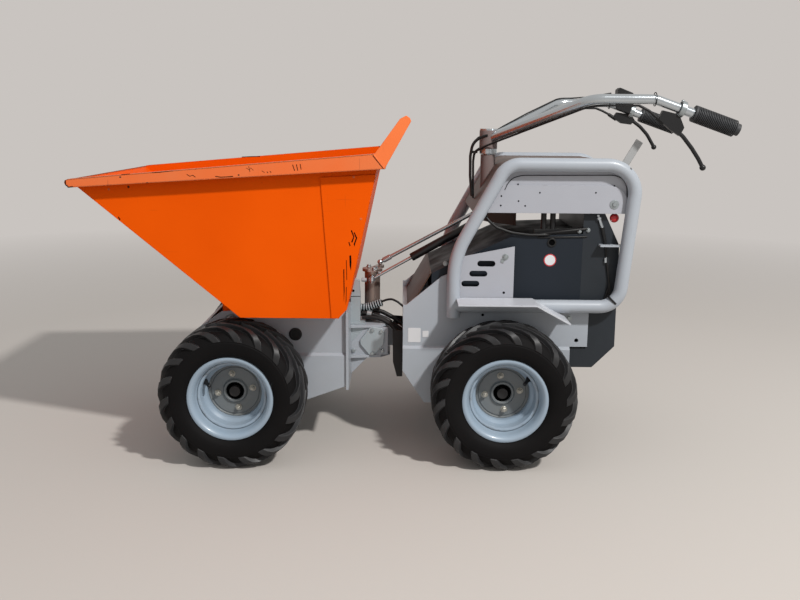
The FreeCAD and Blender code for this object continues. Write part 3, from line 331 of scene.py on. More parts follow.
@dataclass(frozen=True)
class Finish:
    """How one material looks: its colours, and how far each kind of wear shows on it."""

    name: str
    colour: str
    drift: str
    roughness: float = 0.45
    metallic: float = 0.0
    coat: float = 0.0
    spread: float = 4.0
    relief: float = 0.1
    grain: float = 420.0
    waviness: float = 0.4
    bare: str = "86827d"
    bare_metal: float = 0.7
    bare_rough: float = 0.42
    wear: float = 0.3
    edge: float = 0.0022
    # Settled dirt and its colour; on the slate finish they paint shade on upward faces.
    dirt_and_top_shade: float = 0.3
    dirt_and_top_shade_colour: str = "b3aaa0"
    reach: float = 0.5
    scuff: float = 0.25
    chips: float = 0.0
    chip_scale: float = 34.0
    rounding: float = 0.0012
    specular: float = 0.5

    def material(self, effects: Effects) -> bpy.types.Material:
        """Gives the material, and builds it the first time.

        Args:
            effects: The shared effect groups.

        Returns:
            The material with this finish.
        """
        known = bpy.data.materials.get("finish_" + self.name)
        if known is not None:
            return known
        material = bpy.data.materials.new("finish_" + self.name)
        material.use_nodes = True
        tree = material.node_tree
        shader = tree.nodes["Principled BSDF"]
        place = tree.nodes.new("ShaderNodeTexCoord").outputs["Object"]
        paint = self._group(tree, effects.clouds, Vector=place, Scale=self.spread, Share=0.8,
                            First=linear(self.colour), Second=linear(self.drift)).outputs["Colour"]
        worn = self._group(tree, effects.worn_edge, Vector=place, Width=self.edge, Amount=self.wear,
                           Breakup=46.0).outputs["Mask"]
        rubbed = self._group(tree, effects.scuffs, Vector=place, Amount=self.scuff, Length=1.0).outputs["Mask"]
        bare = maths(tree, "MAXIMUM", worn, rubbed)
        if self.chips > 0:
            chips = self._group(tree, effects.speckle, Vector=place, Scale=self.chip_scale,
                                Amount=self.chips).outputs["Mask"]
            bare = maths(tree, "MAXIMUM", bare, chips)
        # Settled dirt, which on the slate finish is painted shade on upward faces.
        dirt_and_top_shade = self._group(tree, effects.dirt_and_top_shade, Vector=place, Amount=self.dirt_and_top_shade, Reach=self.reach).outputs["Mask"]
        colour = mixed(tree, bare, paint, linear(self.bare))
        feed(tree, mixed(tree, dirt_and_top_shade, colour, linear(self.dirt_and_top_shade_colour)), shader.inputs["Base Color"])
        dull = maths(tree, "ADD", maths(tree, "MULTIPLY", noise(tree, place, self.spread * 2.3, 4.0), 0.16),
                     self.roughness - 0.08)
        dull = maths(tree, "ADD", dull, maths(tree, "MULTIPLY", bare, self.bare_rough - self.roughness))
        clean = maths(tree, "SUBTRACT", 1.0, dirt_and_top_shade)
        dull = maths(tree, "ADD", maths(tree, "MULTIPLY", dull, clean), maths(tree, "MULTIPLY", dirt_and_top_shade, 0.9))
        feed(tree, dull, shader.inputs["Roughness"])
        metal = maths(tree, "ADD", self.metallic, maths(tree, "MULTIPLY", bare, self.bare_metal - self.metallic))
        feed(tree, maths(tree, "MULTIPLY", metal, clean), shader.inputs["Metallic"])
        shader.inputs["Specular IOR Level"].default_value = self.specular
        if self.coat > 0:
            feed(tree, maths(tree, "MULTIPLY", clean, self.coat), shader.inputs["Coat Weight"])
            shader.inputs["Coat Roughness"].default_value = 0.12
        surface = self._group(tree, effects.relief, Vector=place, Scale=self.grain, Waviness=self.waviness)
        height = maths(tree, "SUBTRACT", surface.outputs["Height"], maths(tree, "MULTIPLY", bare, 0.6))
        bump = tree.nodes.new("ShaderNodeBump")
        bump.inputs["Strength"].default_value = self.relief
        bump.inputs["Distance"].default_value = 0.0006
        feed(tree, height, bump.inputs["Height"])
        soft = tree.nodes.new("ShaderNodeBevel")
        soft.samples = 4
        soft.inputs["Radius"].default_value = self.rounding
        feed(tree, soft.outputs["Normal"], bump.inputs["Normal"])
        feed(tree, bump.outputs["Normal"], shader.inputs["Normal"])
        return material

    @staticmethod
    def _group(tree: bpy.types.NodeTree, effect: bpy.types.NodeTree, **values: object) -> bpy.types.Node:
        """Places a shared effect in a material.

        Args:
            tree: The material's node tree.
            effect: The shared group.
            values: Its inputs by name.

        Returns:
            The placed group.
        """
        node = tree.nodes.new("ShaderNodeGroup")
        node.node_tree = effect
        for label, value in values.items():
            feed(tree, value, node.inputs[label])
        return node


GREY_PAINT = Finish("grey_paint", "a1a7ae", "979da5", roughness=0.36, coat=0.15, wear=0.2, scuff=0.16,
                    chips=0.03, bare="4d4741", bare_metal=0.35, bare_rough=0.55, dirt_and_top_shade=0.3, dirt_and_top_shade_colour="857f78",
                    reach=0.5, relief=0.09, specular=0.4)
SHEET_PAINT = Finish("sheet_paint", "a3a5ac", "999ba3", roughness=0.34, coat=0.2, wear=0.12, scuff=0.12,
                     bare="5a544e", bare_metal=0.3, dirt_and_top_shade=0.15, reach=0.7, specular=0.4)
SKIP_PAINT = Finish("skip_paint", "e35506", "d94e04", roughness=0.42, coat=0.0, wear=0.34, scuff=0.2, edge=0.003,
                    bare="4a2a1a", bare_metal=0.2, bare_rough=0.6, chips=0.05, dirt_and_top_shade=0.05, dirt_and_top_shade_colour="8c6a50",
                    reach=0.5, relief=0.08, specular=0.02)
GUARD_PAINT = Finish("guard_paint", "ea7a44", "e67039", roughness=0.4, wear=0.3, scuff=0.25, edge=0.003,
                     bare="6a3a24", bare_metal=0.2, bare_rough=0.6, dirt_and_top_shade=0.05, dirt_and_top_shade_colour="a08070", specular=0.15)
RIM_EDGE_PAINT = Finish("rim_edge_paint", "e2682f", "d77a4b", roughness=0.42, wear=0.75, scuff=0.7, edge=0.006,
                        bare="3c2c26", bare_metal=0.3, bare_rough=0.6, chips=0.22, chip_scale=55.0, dirt_and_top_shade=0.1,
                        dirt_and_top_shade_colour="a08070", specular=0.2)
# The carcass rubber is darker than the lugs: painted shade between and beside the lugs.
RUBBER = Finish("rubber", "060506", "0c0b0c", roughness=0.7, wear=0.3, bare="232223", bare_metal=0.0, bare_rough=0.8,
                scuff=0.08, dirt_and_top_shade=0.04, dirt_and_top_shade_colour="4d4845", reach=0.5, relief=0.4, grain=260.0, rounding=0.002,
                specular=0.14)
# The lugs' rubber is lighter and bluer than the carcass: painted light on their tops.
LUGS_WITH_PAINTED_LIGHT = Finish("lugs_with_painted_light", "17181a", "202124", roughness=0.46, wear=0.5, bare="3a3a3c", bare_metal=0.0,
                    bare_rough=0.7, scuff=0.1, dirt_and_top_shade=0.12, dirt_and_top_shade_colour="4d4845", reach=0.5, relief=0.28, grain=260.0,
                    rounding=0.001, specular=0.45)
# A lighter copy of the sheet paint: painted light on the fenders' brightly lit tops.
FENDER_WITH_PAINTED_LIGHT = Finish("fender_with_painted_light", "bfc2c8", "b5b8bf", roughness=0.34, coat=0.2, wear=0.12, scuff=0.12,
                      bare="5a544e", bare_metal=0.3, dirt_and_top_shade=0.05, reach=0.7, specular=0.4)
RIM_PAINT = Finish("rim_paint", "8e9fae", "8495a5", roughness=0.32, coat=0.2, wear=0.2, bare="5b5651", dirt_and_top_shade=0.25,
                   dirt_and_top_shade_colour="8a837b")
RIM_DISC = Finish("rim_disc", "686e71", "5f6568", roughness=0.42, wear=0.15, dirt_and_top_shade=0.5, dirt_and_top_shade_colour="7f7970")
AXLE_BLACK = Finish("axle_black", "1a1a1c", "212123", roughness=0.5, wear=0.3, bare="4a4440", bare_rough=0.5,
                    dirt_and_top_shade=0.4, dirt_and_top_shade_colour="5f5952", relief=0.2, grain=180.0, specular=0.3)
ZINC = Finish("zinc", "a3abae", "939a9c", roughness=0.33, metallic=0.75, wear=0.2, bare="7e7c78", bare_metal=0.9,
              dirt_and_top_shade=0.2, relief=0.1, scuff=0.2, rounding=0.0006)
GOLD_ZINC = Finish("gold_zinc", "aeaca3", "9f9d95", roughness=0.34, metallic=0.7, wear=0.2, bare="8e8c88",
                   bare_metal=0.9, dirt_and_top_shade=0.1, relief=0.1, rounding=0.0006)
CHROME = Finish("chrome", "bcc3c8", "b0b7bc", roughness=0.2, metallic=0.82, wear=0.1, bare="8c8a87", bare_metal=1.0,
                bare_rough=0.35, scuff=0.25, dirt_and_top_shade=0.1, relief=0.03)
POST_STEEL = Finish("post_steel", "8b7c74", "7d6f68", roughness=0.3, metallic=0.6, wear=0.3, bare="5b524d",
                    bare_metal=0.8, dirt_and_top_shade=0.15, relief=0.06)
DAMPER_BLACK = Finish("damper_black", "121213", "1a1a1b", roughness=0.34, coat=0.2, wear=0.15, bare="45423e",
                      dirt_and_top_shade=0.15, dirt_and_top_shade_colour="5d554c", specular=0.3)
# Its heavy, near-black settled-dirt colour on upward faces is painted shade on the housing's top.
SLATE = Finish("slate", "1e242c", "1a2027", roughness=0.46, wear=0.1, bare="434a54", bare_metal=0.0, bare_rough=0.55,
               scuff=0.1, dirt_and_top_shade=2.6, dirt_and_top_shade_colour="0b0a0a", reach=0.01, relief=0.25, grain=520.0, specular=0.2)
SLATE_LOWER = Finish("slate_lower", "23282e", "1e2328", roughness=0.48, wear=0.1, bare="40454c", bare_metal=0.0,
                     scuff=0.14, dirt_and_top_shade=0.1, dirt_and_top_shade_colour="5f6468", reach=0.75, relief=0.25, grain=520.0, specular=0.3)
BATTERY_CASE = Finish("battery_case", "35373b", "2f3135", roughness=0.5, dirt_and_top_shade=0.3, bare_metal=0.0)
BLACK_PLASTIC = Finish("black_plastic", "131415", "19191b", roughness=0.42, wear=0.12, bare="363636", bare_metal=0.0,
                       dirt_and_top_shade=0.1, dirt_and_top_shade_colour="5f5a55", relief=0.22, grain=600.0, specular=0.35)
GRIP_RUBBER = Finish("grip_rubber", "26282b", "2e3033", roughness=0.6, wear=0.3, bare="45474a", bare_metal=0.0,
                     dirt_and_top_shade=0.2, relief=0.3, grain=520.0)
COVER_ZINC = Finish("cover_zinc", "a7b1b6", "9ca6ab", roughness=0.4, metallic=0.35, wear=0.2, bare="7e7c78",
                    bare_metal=0.8, dirt_and_top_shade=0.15, relief=0.08, scuff=0.2, rounding=0.0006, specular=0.4)
SIGN_RED = Finish("sign_red", "b8343a", "ab2f35", roughness=0.4, wear=0.1, bare="d0c8c4", bare_metal=0.0, dirt_and_top_shade=0.1)
BROWN_PAINT = Finish("brown_paint", "5a4840", "50403a", roughness=0.4, coat=0.0, wear=0.2, bare="6b645d", dirt_and_top_shade=0.05,
                     dirt_and_top_shade_colour="8a7f76", specular=0.12)
# Brownish grey: the sleeve's own brown paint, and on the column painted shade of its grey paint.
COLUMN_BROWN_AND_PAINTED_SHADE = Finish("column_brown_and_painted_shade", "7a6d6b", "706361", roughness=0.4, wear=0.2, bare="6b645d", dirt_and_top_shade=0.05,
                      dirt_and_top_shade_colour="8a7f76", specular=0.12)
# A darker copy of the brown paint: painted shade on the front slope.
SLOPE_WITH_PAINTED_SHADE = Finish("slope_with_painted_shade", "49372d", "412f27", roughness=0.42, wear=0.2, bare="6b645d", dirt_and_top_shade=0.0,
                     specular=0.1)
LEVER_STEEL = Finish("lever_steel", "9b9c9c", "8f9090", roughness=0.4, coat=0.1, wear=0.3, bare="6a6662", dirt_and_top_shade=0.15)
KNOB_RED = Finish("knob_red", "b3161a", "a51418", roughness=0.3, coat=0.4, wear=0.2, bare="d97b6a", bare_metal=0.0,
                  dirt_and_top_shade=0.1)
BLANK_PLATE = Finish("blank_plate", "cfd0d2", "c4c5c7", roughness=0.4, wear=0.2, bare="9a9a9a", bare_metal=0.2,
                     dirt_and_top_shade=0.15, scuff=0.3)
CABLE_JACKET = Finish("cable_jacket", "101011", "171718", roughness=0.46, wear=0.1, bare="303030", bare_metal=0.0,
                      dirt_and_top_shade=0.1, dirt_and_top_shade_colour="5f5a55", relief=0.15, grain=700.0, specular=0.35)
# Flat black: real black marks and parts, and painted shade in holes, recesses and gaps.
BLACK_AND_PAINTED_SHADE = Finish("black_and_painted_shade", "030304", "060607", roughness=0.8, wear=0.0, dirt_and_top_shade=0.0, scuff=0.0, bare_metal=0.0,
                    specular=0.04)


class PieceMesh:
    """One added piece under construction, written in millimetres from the steering axis."""

    def __init__(self, name: str) -> None:
        """Starts an empty piece.

        Args:
            name: The piece's name.
        """
        self.name = name
        self.mesh = bmesh.new()
        self.finishes: list[Finish] = []
        self.current = 0

    def paint(self, finish: Finish) -> "PieceMesh":
        """Sets the finish of the faces that follow."""
        if finish not in self.finishes:
            self.finishes.append(finish)
        self.current = self.finishes.index(finish)
        return self

    def corner(self, point: Vector) -> bmesh.types.BMVert:
        """Adds one corner at a point in millimetres."""
        return self.mesh.verts.new(row_point(tuple(point)))

    def _face(self, corners: list[bmesh.types.BMVert]) -> None:
        """Adds one face with the current finish."""
        face = self.mesh.faces.new(corners)
        face.material_index = self.current

    def skin(self, rings: list[list[bmesh.types.BMVert]], looped: bool = False, capped: bool = True) -> None:
        """Joins rings of corners into a skin.

        Args:
            rings: The rings in order; a ring of one corner is a tip.
            looped: Whether the last ring joins the first.
            capped: Whether open end rings are closed with a face.
        """
        pairs = list(zip(rings, rings[1:])) + ([(rings[-1], rings[0])] if looped else [])
        for first, second in pairs:
            count = max(len(first), len(second))
            for i in range(count):
                k = (i + 1) % count
                if len(first) == 1:
                    self._face([first[0], second[k], second[i]])
                elif len(second) == 1:
                    self._face([first[i], first[k], second[0]])
                else:
                    self._face([first[i], first[k], second[k], second[i]])
        if capped and not looped:
            for ring in (rings[0], rings[-1]):
                if len(ring) > 2:
                    self._face(list(ring))

    def lathe(self, profile: list[Flat], at: Point, axis: Point = (0, 1, 0), sides: int = 32, looped: bool = False,
              turn: float = 0.0) -> "PieceMesh":
        """Turns a profile about an axis.

        Args:
            profile: Pairs of distance along the axis and radius.
            at: Where the axis starts.
            axis: Its direction.
            sides: Facets round it; six make a hexagon.
            looped: Whether the profile closes on itself, as for a ring.
            turn: Turn about the axis in degrees.

        Returns:
            This piece.
        """
        along = Vector(axis).normalized()
        across = along.orthogonal().normalized()
        other = along.cross(across)
        rings = []
        for distance, radius in profile:
            centre = Vector(at) + along * distance
            if radius < 1e-6:
                rings.append([self.corner(centre)])
                continue
            angles = [math.radians(turn) + math.tau * i / sides for i in range(sides)]
            rings.append([self.corner(centre + across * (radius * math.cos(a)) + other * (radius * math.sin(a)))
                          for a in angles])
        self.skin(rings, looped)
        return self

    def tube(self, path: list[Point], radius: float, sides: int = 14, capped: bool = True) -> "PieceMesh":
        """Sweeps a circle along a path.

        Args:
            path: The points of the centreline.
            radius: The circle's radius.
            sides: Facets round it.
            capped: Whether its ends are closed.

        Returns:
            This piece.
        """
        points = [Vector(p) for p in path]
        ways = [(points[min(i + 1, len(points) - 1)] - points[max(i - 1, 0)]).normalized() for i in range(len(points))]
        across = ways[0].orthogonal().normalized()
        rings = []
        for centre, way in zip(points, ways):
            across = (across - way * across.dot(way)).normalized()
            other = way.cross(across)
            rings.append([self.corner(centre + across * (radius * math.cos(math.tau * i / sides))
                                       + other * (radius * math.sin(math.tau * i / sides))) for i in range(sides)])
        self.skin(rings, capped=capped)
        return self

    def prism(self, outline: list[Flat], plane: Plane, low: float, high: float) -> "PieceMesh":
        """Gives a flat outline a thickness.

        Args:
            outline: Its corners in order.
            plane: Which way it faces.
            low: Where the thickness starts.
            high: Where it ends.

        Returns:
            This piece.
        """
        rings = []
        for level in (low, high):
            corners = {Plane.SIDE: [(u, level, v) for u, v in outline],
                       Plane.PLAN: [(u, v, level) for u, v in outline],
                       Plane.FRONT: [(level, u, v) for u, v in outline]}[plane]
            rings.append([self.corner(Vector(c)) for c in corners])
        self.skin(rings)
        return self

    def block(self, low: Point, high: Point) -> "PieceMesh":
        """Adds a box between two corners, to be rounded by the piece's bevel."""
        (x0, y0, z0), (x1, y1, z1) = low, high
        return self.prism([(x0, z0), (x1, z0), (x1, z1), (x0, z1)], Plane.SIDE, y0, y1)

    def bolt(self, at: Point, axis: Point = (0, 1, 0), across: float = 13.0, head: float = 6.0,
             washer: float = 12.0, turn: float = 10.0) -> "PieceMesh":
        """Adds a washer, unless its radius is 0, and a chamfered hexagon head.

        Args:
            at: Where it sits on the surface.
            axis: The way it points outwards.
            across: Width of the head between corners.
            head: Height of the head.
            washer: Radius of the washer, or 0 for none.
            turn: The head's turn in degrees.

        Returns:
            This piece.
        """
        seat = -0.4
        if washer:
            self.lathe([(-0.4, 0), (-0.4, washer), (1.2, washer), (1.7, washer - 0.6), (1.7, 0)], at, axis, 24)
            seat = 1.5
        radius = across / 2
        self.lathe([(seat, 0), (seat, radius), (seat + head * 0.82, radius), (seat + head, radius * 0.84),
                    (seat + head, 0)], at, axis, 6, turn=turn)
        return self

    def screw(self, at: Point, axis: Point = (0, 1, 0), radius: float = 6.0) -> "PieceMesh":
        """Adds a domed screw head with a socket in it."""
        self.lathe([(-0.4, 0), (-0.4, radius), (1.0, radius), (2.6, radius * 0.8), (3.3, radius * 0.5),
                    (3.3, radius * 0.42), (1.6, radius * 0.36), (1.6, 0)], at, axis, 20)
        return self

    def ball(self, at: Point, radius: float) -> "PieceMesh":
        """Adds a ball."""
        steps = 10
        profile = [(-radius * math.cos(math.pi * i / steps), radius * math.sin(math.pi * i / steps))
                   for i in range(steps + 1)]
        return self.lathe(profile, at, (0, 1, 0), 20)

    def finish(self, body: str, effects: Effects, bevel: float = 0.0, slot: str = "painted_steel",
               replaces: tuple[str, ...] = (), span: tuple[str, Point, Point] | None = None) -> bpy.types.Object:
        """Closes the piece, gives it its finishes and lets it ride on a body; a piece given a span stays where it is,
        on no body.

        Args:
            body: The body that it moves with.
            effects: The shared effect groups.
            bevel: Width of the rounded edges in millimetres, or 0 for none.
            slot: Not used.
            replaces: Modelled nodes that it stands for.
            span: For a piece that crosses a joint; when given, the piece stays where it is on no body, and the body and
                points that it holds are not used.

        Returns:
            The piece's object.
        """
        bmesh.ops.recalc_face_normals(self.mesh, faces=self.mesh.faces)
        data = bpy.data.meshes.new(self.name)
        self.mesh.to_mesh(data)
        self.mesh.free()
        for finish in self.finishes:
            data.materials.append(finish.material(effects))
        data.shade_smooth()
        data.set_sharp_from_angle(angle=math.radians(34))
        piece = bpy.data.objects.new(self.name, data)
        bpy.context.scene.collection.objects.link(piece)
        if bevel > 0:
            rounded = piece.modifiers.new("rounded_edges", "BEVEL")
            rounded.width = bevel * MM
            rounded.segments = 2
            rounded.limit_method = "ANGLE"
            rounded.angle_limit = math.radians(34)
            rounded.harden_normals = True
        if span:
            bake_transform(piece)
        else:
            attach(piece, body)
        if replaces:
            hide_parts(*replaces)
        LOG.info("%s: %d faces on %s", self.name, len(data.polygons), body)
        return piece


def bent_path(points: list[Point], bend: float, steps: int = 6) -> list[Point]:
    """Rounds the corners of a path.

    Args:
        points: The path's corners.
        bend: The largest radius of a bend.
        steps: Points along each bend.

    Returns:
        The rounded path's points.
    """
    corners = [Vector(p) for p in points]
    path = [corners[0]]
    for before, corner, after in zip(corners, corners[1:], corners[2:]):
        back, on = before - corner, after - corner
        half_turn = (math.pi - back.angle(on)) / 2
        reach = min(bend * math.tan(half_turn), 0.45 * back.length, 0.45 * on.length)
        start, end = corner + back.normalized() * reach, corner + on.normalized() * reach
        for i in range(steps + 1):
            t = i / steps
            path.append(start.lerp(corner, t).lerp(corner.lerp(end, t), t))
    path.append(corners[-1])
    return [tuple(p) for p in path]


def evened(path: list[Point], count: int) -> list[Point]:
    """Spreads points evenly along a path.

    Args:
        path: The path's points.
        count: How many points are wanted.

    Returns:
        The evenly spaced points.
    """
    corners = [Vector(p) for p in path]
    lengths = [(after - before).length for before, after in zip(corners, corners[1:])]
    total = sum(lengths)
    points = []
    for number in range(count):
        left = total * number / (count - 1)
        k = 0
        while k < len(lengths) - 1 and left > lengths[k]:
            left -= lengths[k]
            k += 1
        share = left / lengths[k] if lengths[k] > 0 else 0.0
        points.append(tuple(corners[k].lerp(corners[k + 1], min(share, 1.0))))
    return points


def rounded_outline(points: list[Flat], bend: float, steps: int = 4) -> list[Flat]:
    """Rounds the corners of a closed flat outline.

    Args:
        points: Its corners in order.
        bend: The largest radius of a corner.
        steps: Points along each corner.

    Returns:
        The rounded outline's corners.
    """
    count = len(points)
    outline = []
    for i in range(count):
        before, corner, after = (Vector(points[k % count]) for k in (i - 1, i, i + 1))
        back, on = before - corner, after - corner
        half_turn = (math.pi - back.angle(on)) / 2
        reach = min(bend * math.tan(half_turn), 0.45 * back.length, 0.45 * on.length)
        start, end = corner + back.normalized() * reach, corner + on.normalized() * reach
        outline += [tuple(start.lerp(corner, k / steps).lerp(corner.lerp(end, k / steps), k / steps))
                    for k in range(steps + 1)]
    return outline


def dress(finish: Finish, effects: Effects, *nodes: str) -> None:
    """Gives modelled nodes their finish.

    Args:
        finish: The finish.
        effects: The shared effect groups.
        nodes: The nodes' names.
    """
    for name in nodes:
        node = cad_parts[name]
        node.data.materials.clear()
        node.data.materials.append(finish.material(effects))
        LOG.info("%s: %s", name, finish.name)


@dataclass(frozen=True)
class View:
    """Where the photograph was taken from."""

    place: Point = (0.0165, 2.620, 0.951)
    pitch: float = 11.78
    roll: float = 0.5
    lens: float = 38.61

    def build(self) -> bpy.types.Object:
        """Makes the scene's camera.

        Returns:
            The camera.
        """
        pitch, roll = math.radians(self.pitch), math.radians(self.roll)
        level = Vector((-1.0, 0.0, 0.0))
        fall = Vector((0.0, math.sin(pitch), -math.cos(pitch)))
        ahead = Vector((0.0, -math.cos(pitch), -math.sin(pitch)))
        right = level * math.cos(roll) - fall * math.sin(roll)
        up = -(level * math.sin(roll) + fall * math.cos(roll))
        data = bpy.data.cameras.new("photo_view")
        data.lens = self.lens
        data.sensor_width = 36.0
        data.clip_start = 0.05
        data.clip_end = 200.0
        camera = bpy.data.objects.new("photo_view", data)
        camera.matrix_world = Matrix((
            (right.x, up.x, -ahead.x, self.place[0]),
            (right.y, up.y, -ahead.y, self.place[1]),
            (right.z, up.z, -ahead.z, self.place[2]),
            (0.0, 0.0, 0.0, 1.0)))
        bpy.context.scene.collection.objects.link(camera)
        bpy.context.scene.camera = camera
        return camera


@dataclass(frozen=True)
class Studio:
    """The plain pale floor and the soft light of the photograph."""

    backdrop: str = "c9c4c0"
    floor: str = "b9b3ad"
    key_power: float = 412.0
    key_size: float = 0.4
    key_distance: float = 6.6
    key_way: Point = (-0.8, 1.0, 1.2)
    fill: float = 0.56
    fade_start: float = 2.2
    fade_end: float = 5.5

    def build(self) -> None:
        """Makes the world, the lamp and the floor."""
        scene = bpy.context.scene
        scene.view_settings.view_transform = "Standard"
        self._world(scene)
        self._lamp("key_light", Vector(self.key_way).normalized() * self.key_distance, self.key_power, self.key_size)
        self._floor()
        LOG.info("studio: key %.0f W, fill %.2f", self.key_power, self.fill)

    def _world(self, scene: bpy.types.Scene) -> None:
        """Makes an even fill light and the pale background that the camera and reflections see."""
        world = bpy.data.worlds.new("studio_world")
        world.use_nodes = True
        scene.world = world
        tree = world.node_tree
        shown = tree.nodes["Background"]
        shown.inputs["Color"].default_value = linear(self.backdrop)
        shown.inputs["Strength"].default_value = 1.0
        soft = tree.nodes.new("ShaderNodeBackground")
        soft.inputs["Color"].default_value = (0.98, 0.99, 1.0, 1.0)
        soft.inputs["Strength"].default_value = self.fill
        mix = tree.nodes.new("ShaderNodeMixShader")
        feed(tree, self._seen(tree), mix.inputs[0])
        tree.links.new(soft.outputs[0], mix.inputs[1])
        tree.links.new(shown.outputs[0], mix.inputs[2])
        tree.links.new(mix.outputs[0], tree.nodes["World Output"].inputs["Surface"])

    @staticmethod
    def _seen(tree: bpy.types.NodeTree) -> bpy.types.NodeSocket:
        """Gives 1 for rays of the camera, of mirrors and of glass."""
        rays = tree.nodes.new("ShaderNodeLightPath")
        direct = maths(tree, "MAXIMUM", rays.outputs["Is Camera Ray"], rays.outputs["Is Transmission Ray"])
        return maths(tree, "MAXIMUM", direct, rays.outputs["Is Glossy Ray"])

    @staticmethod
    def _lamp(name: str, place: Vector, power: float, size: float) -> None:
        """Hangs a soft round lamp that faces the object."""
        data = bpy.data.lights.new(name, "AREA")
        data.shape = "DISK"
        data.size = size
        data.energy = power
        data.color = (1.0, 0.985, 0.965)
        lamp = bpy.data.objects.new(name, data)
        lamp.location = place + Vector((0.0, 0.0, 0.45))
        lamp.rotation_euler = place.to_track_quat("Z", "Y").to_euler()
        bpy.context.scene.collection.objects.link(lamp)

    def _floor(self) -> None:
        """Makes the floor, which keeps the shadow and fades into the background far away."""
        mesh = bmesh.new()
        bmesh.ops.create_grid(mesh, x_segments=1, y_segments=1, size=40.0)
        data = bpy.data.meshes.new("floor")
        mesh.to_mesh(data)
        mesh.free()
        floor = bpy.data.objects.new("floor", data)
        material = bpy.data.materials.new("floor_surface")
        material.use_nodes = True
        tree = material.node_tree
        shader = tree.nodes["Principled BSDF"]
        shader.inputs["Base Color"].default_value = linear(self.floor)
        shader.inputs["Roughness"].default_value = 0.85
        place = tree.nodes.new("ShaderNodeTexCoord").outputs["Object"]
        distance = tree.nodes.new("ShaderNodeVectorMath")
        distance.operation = "LENGTH"
        feed(tree, place, distance.inputs[0])
        far = ramp(tree, distance.outputs["Value"], self.fade_start, self.fade_end)
        glow = tree.nodes.new("ShaderNodeEmission")
        glow.inputs["Color"].default_value = linear(self.backdrop)
        mix = tree.nodes.new("ShaderNodeMixShader")
        feed(tree, maths(tree, "MULTIPLY", far, self._seen(tree)), mix.inputs[0])
        tree.links.new(shader.outputs[0], mix.inputs[1])
        tree.links.new(glow.outputs[0], mix.inputs[2])
        tree.links.new(mix.outputs[0], tree.nodes["Material Output"].inputs["Surface"])
        data.materials.append(material)
        bpy.context.scene.collection.objects.link(floor)
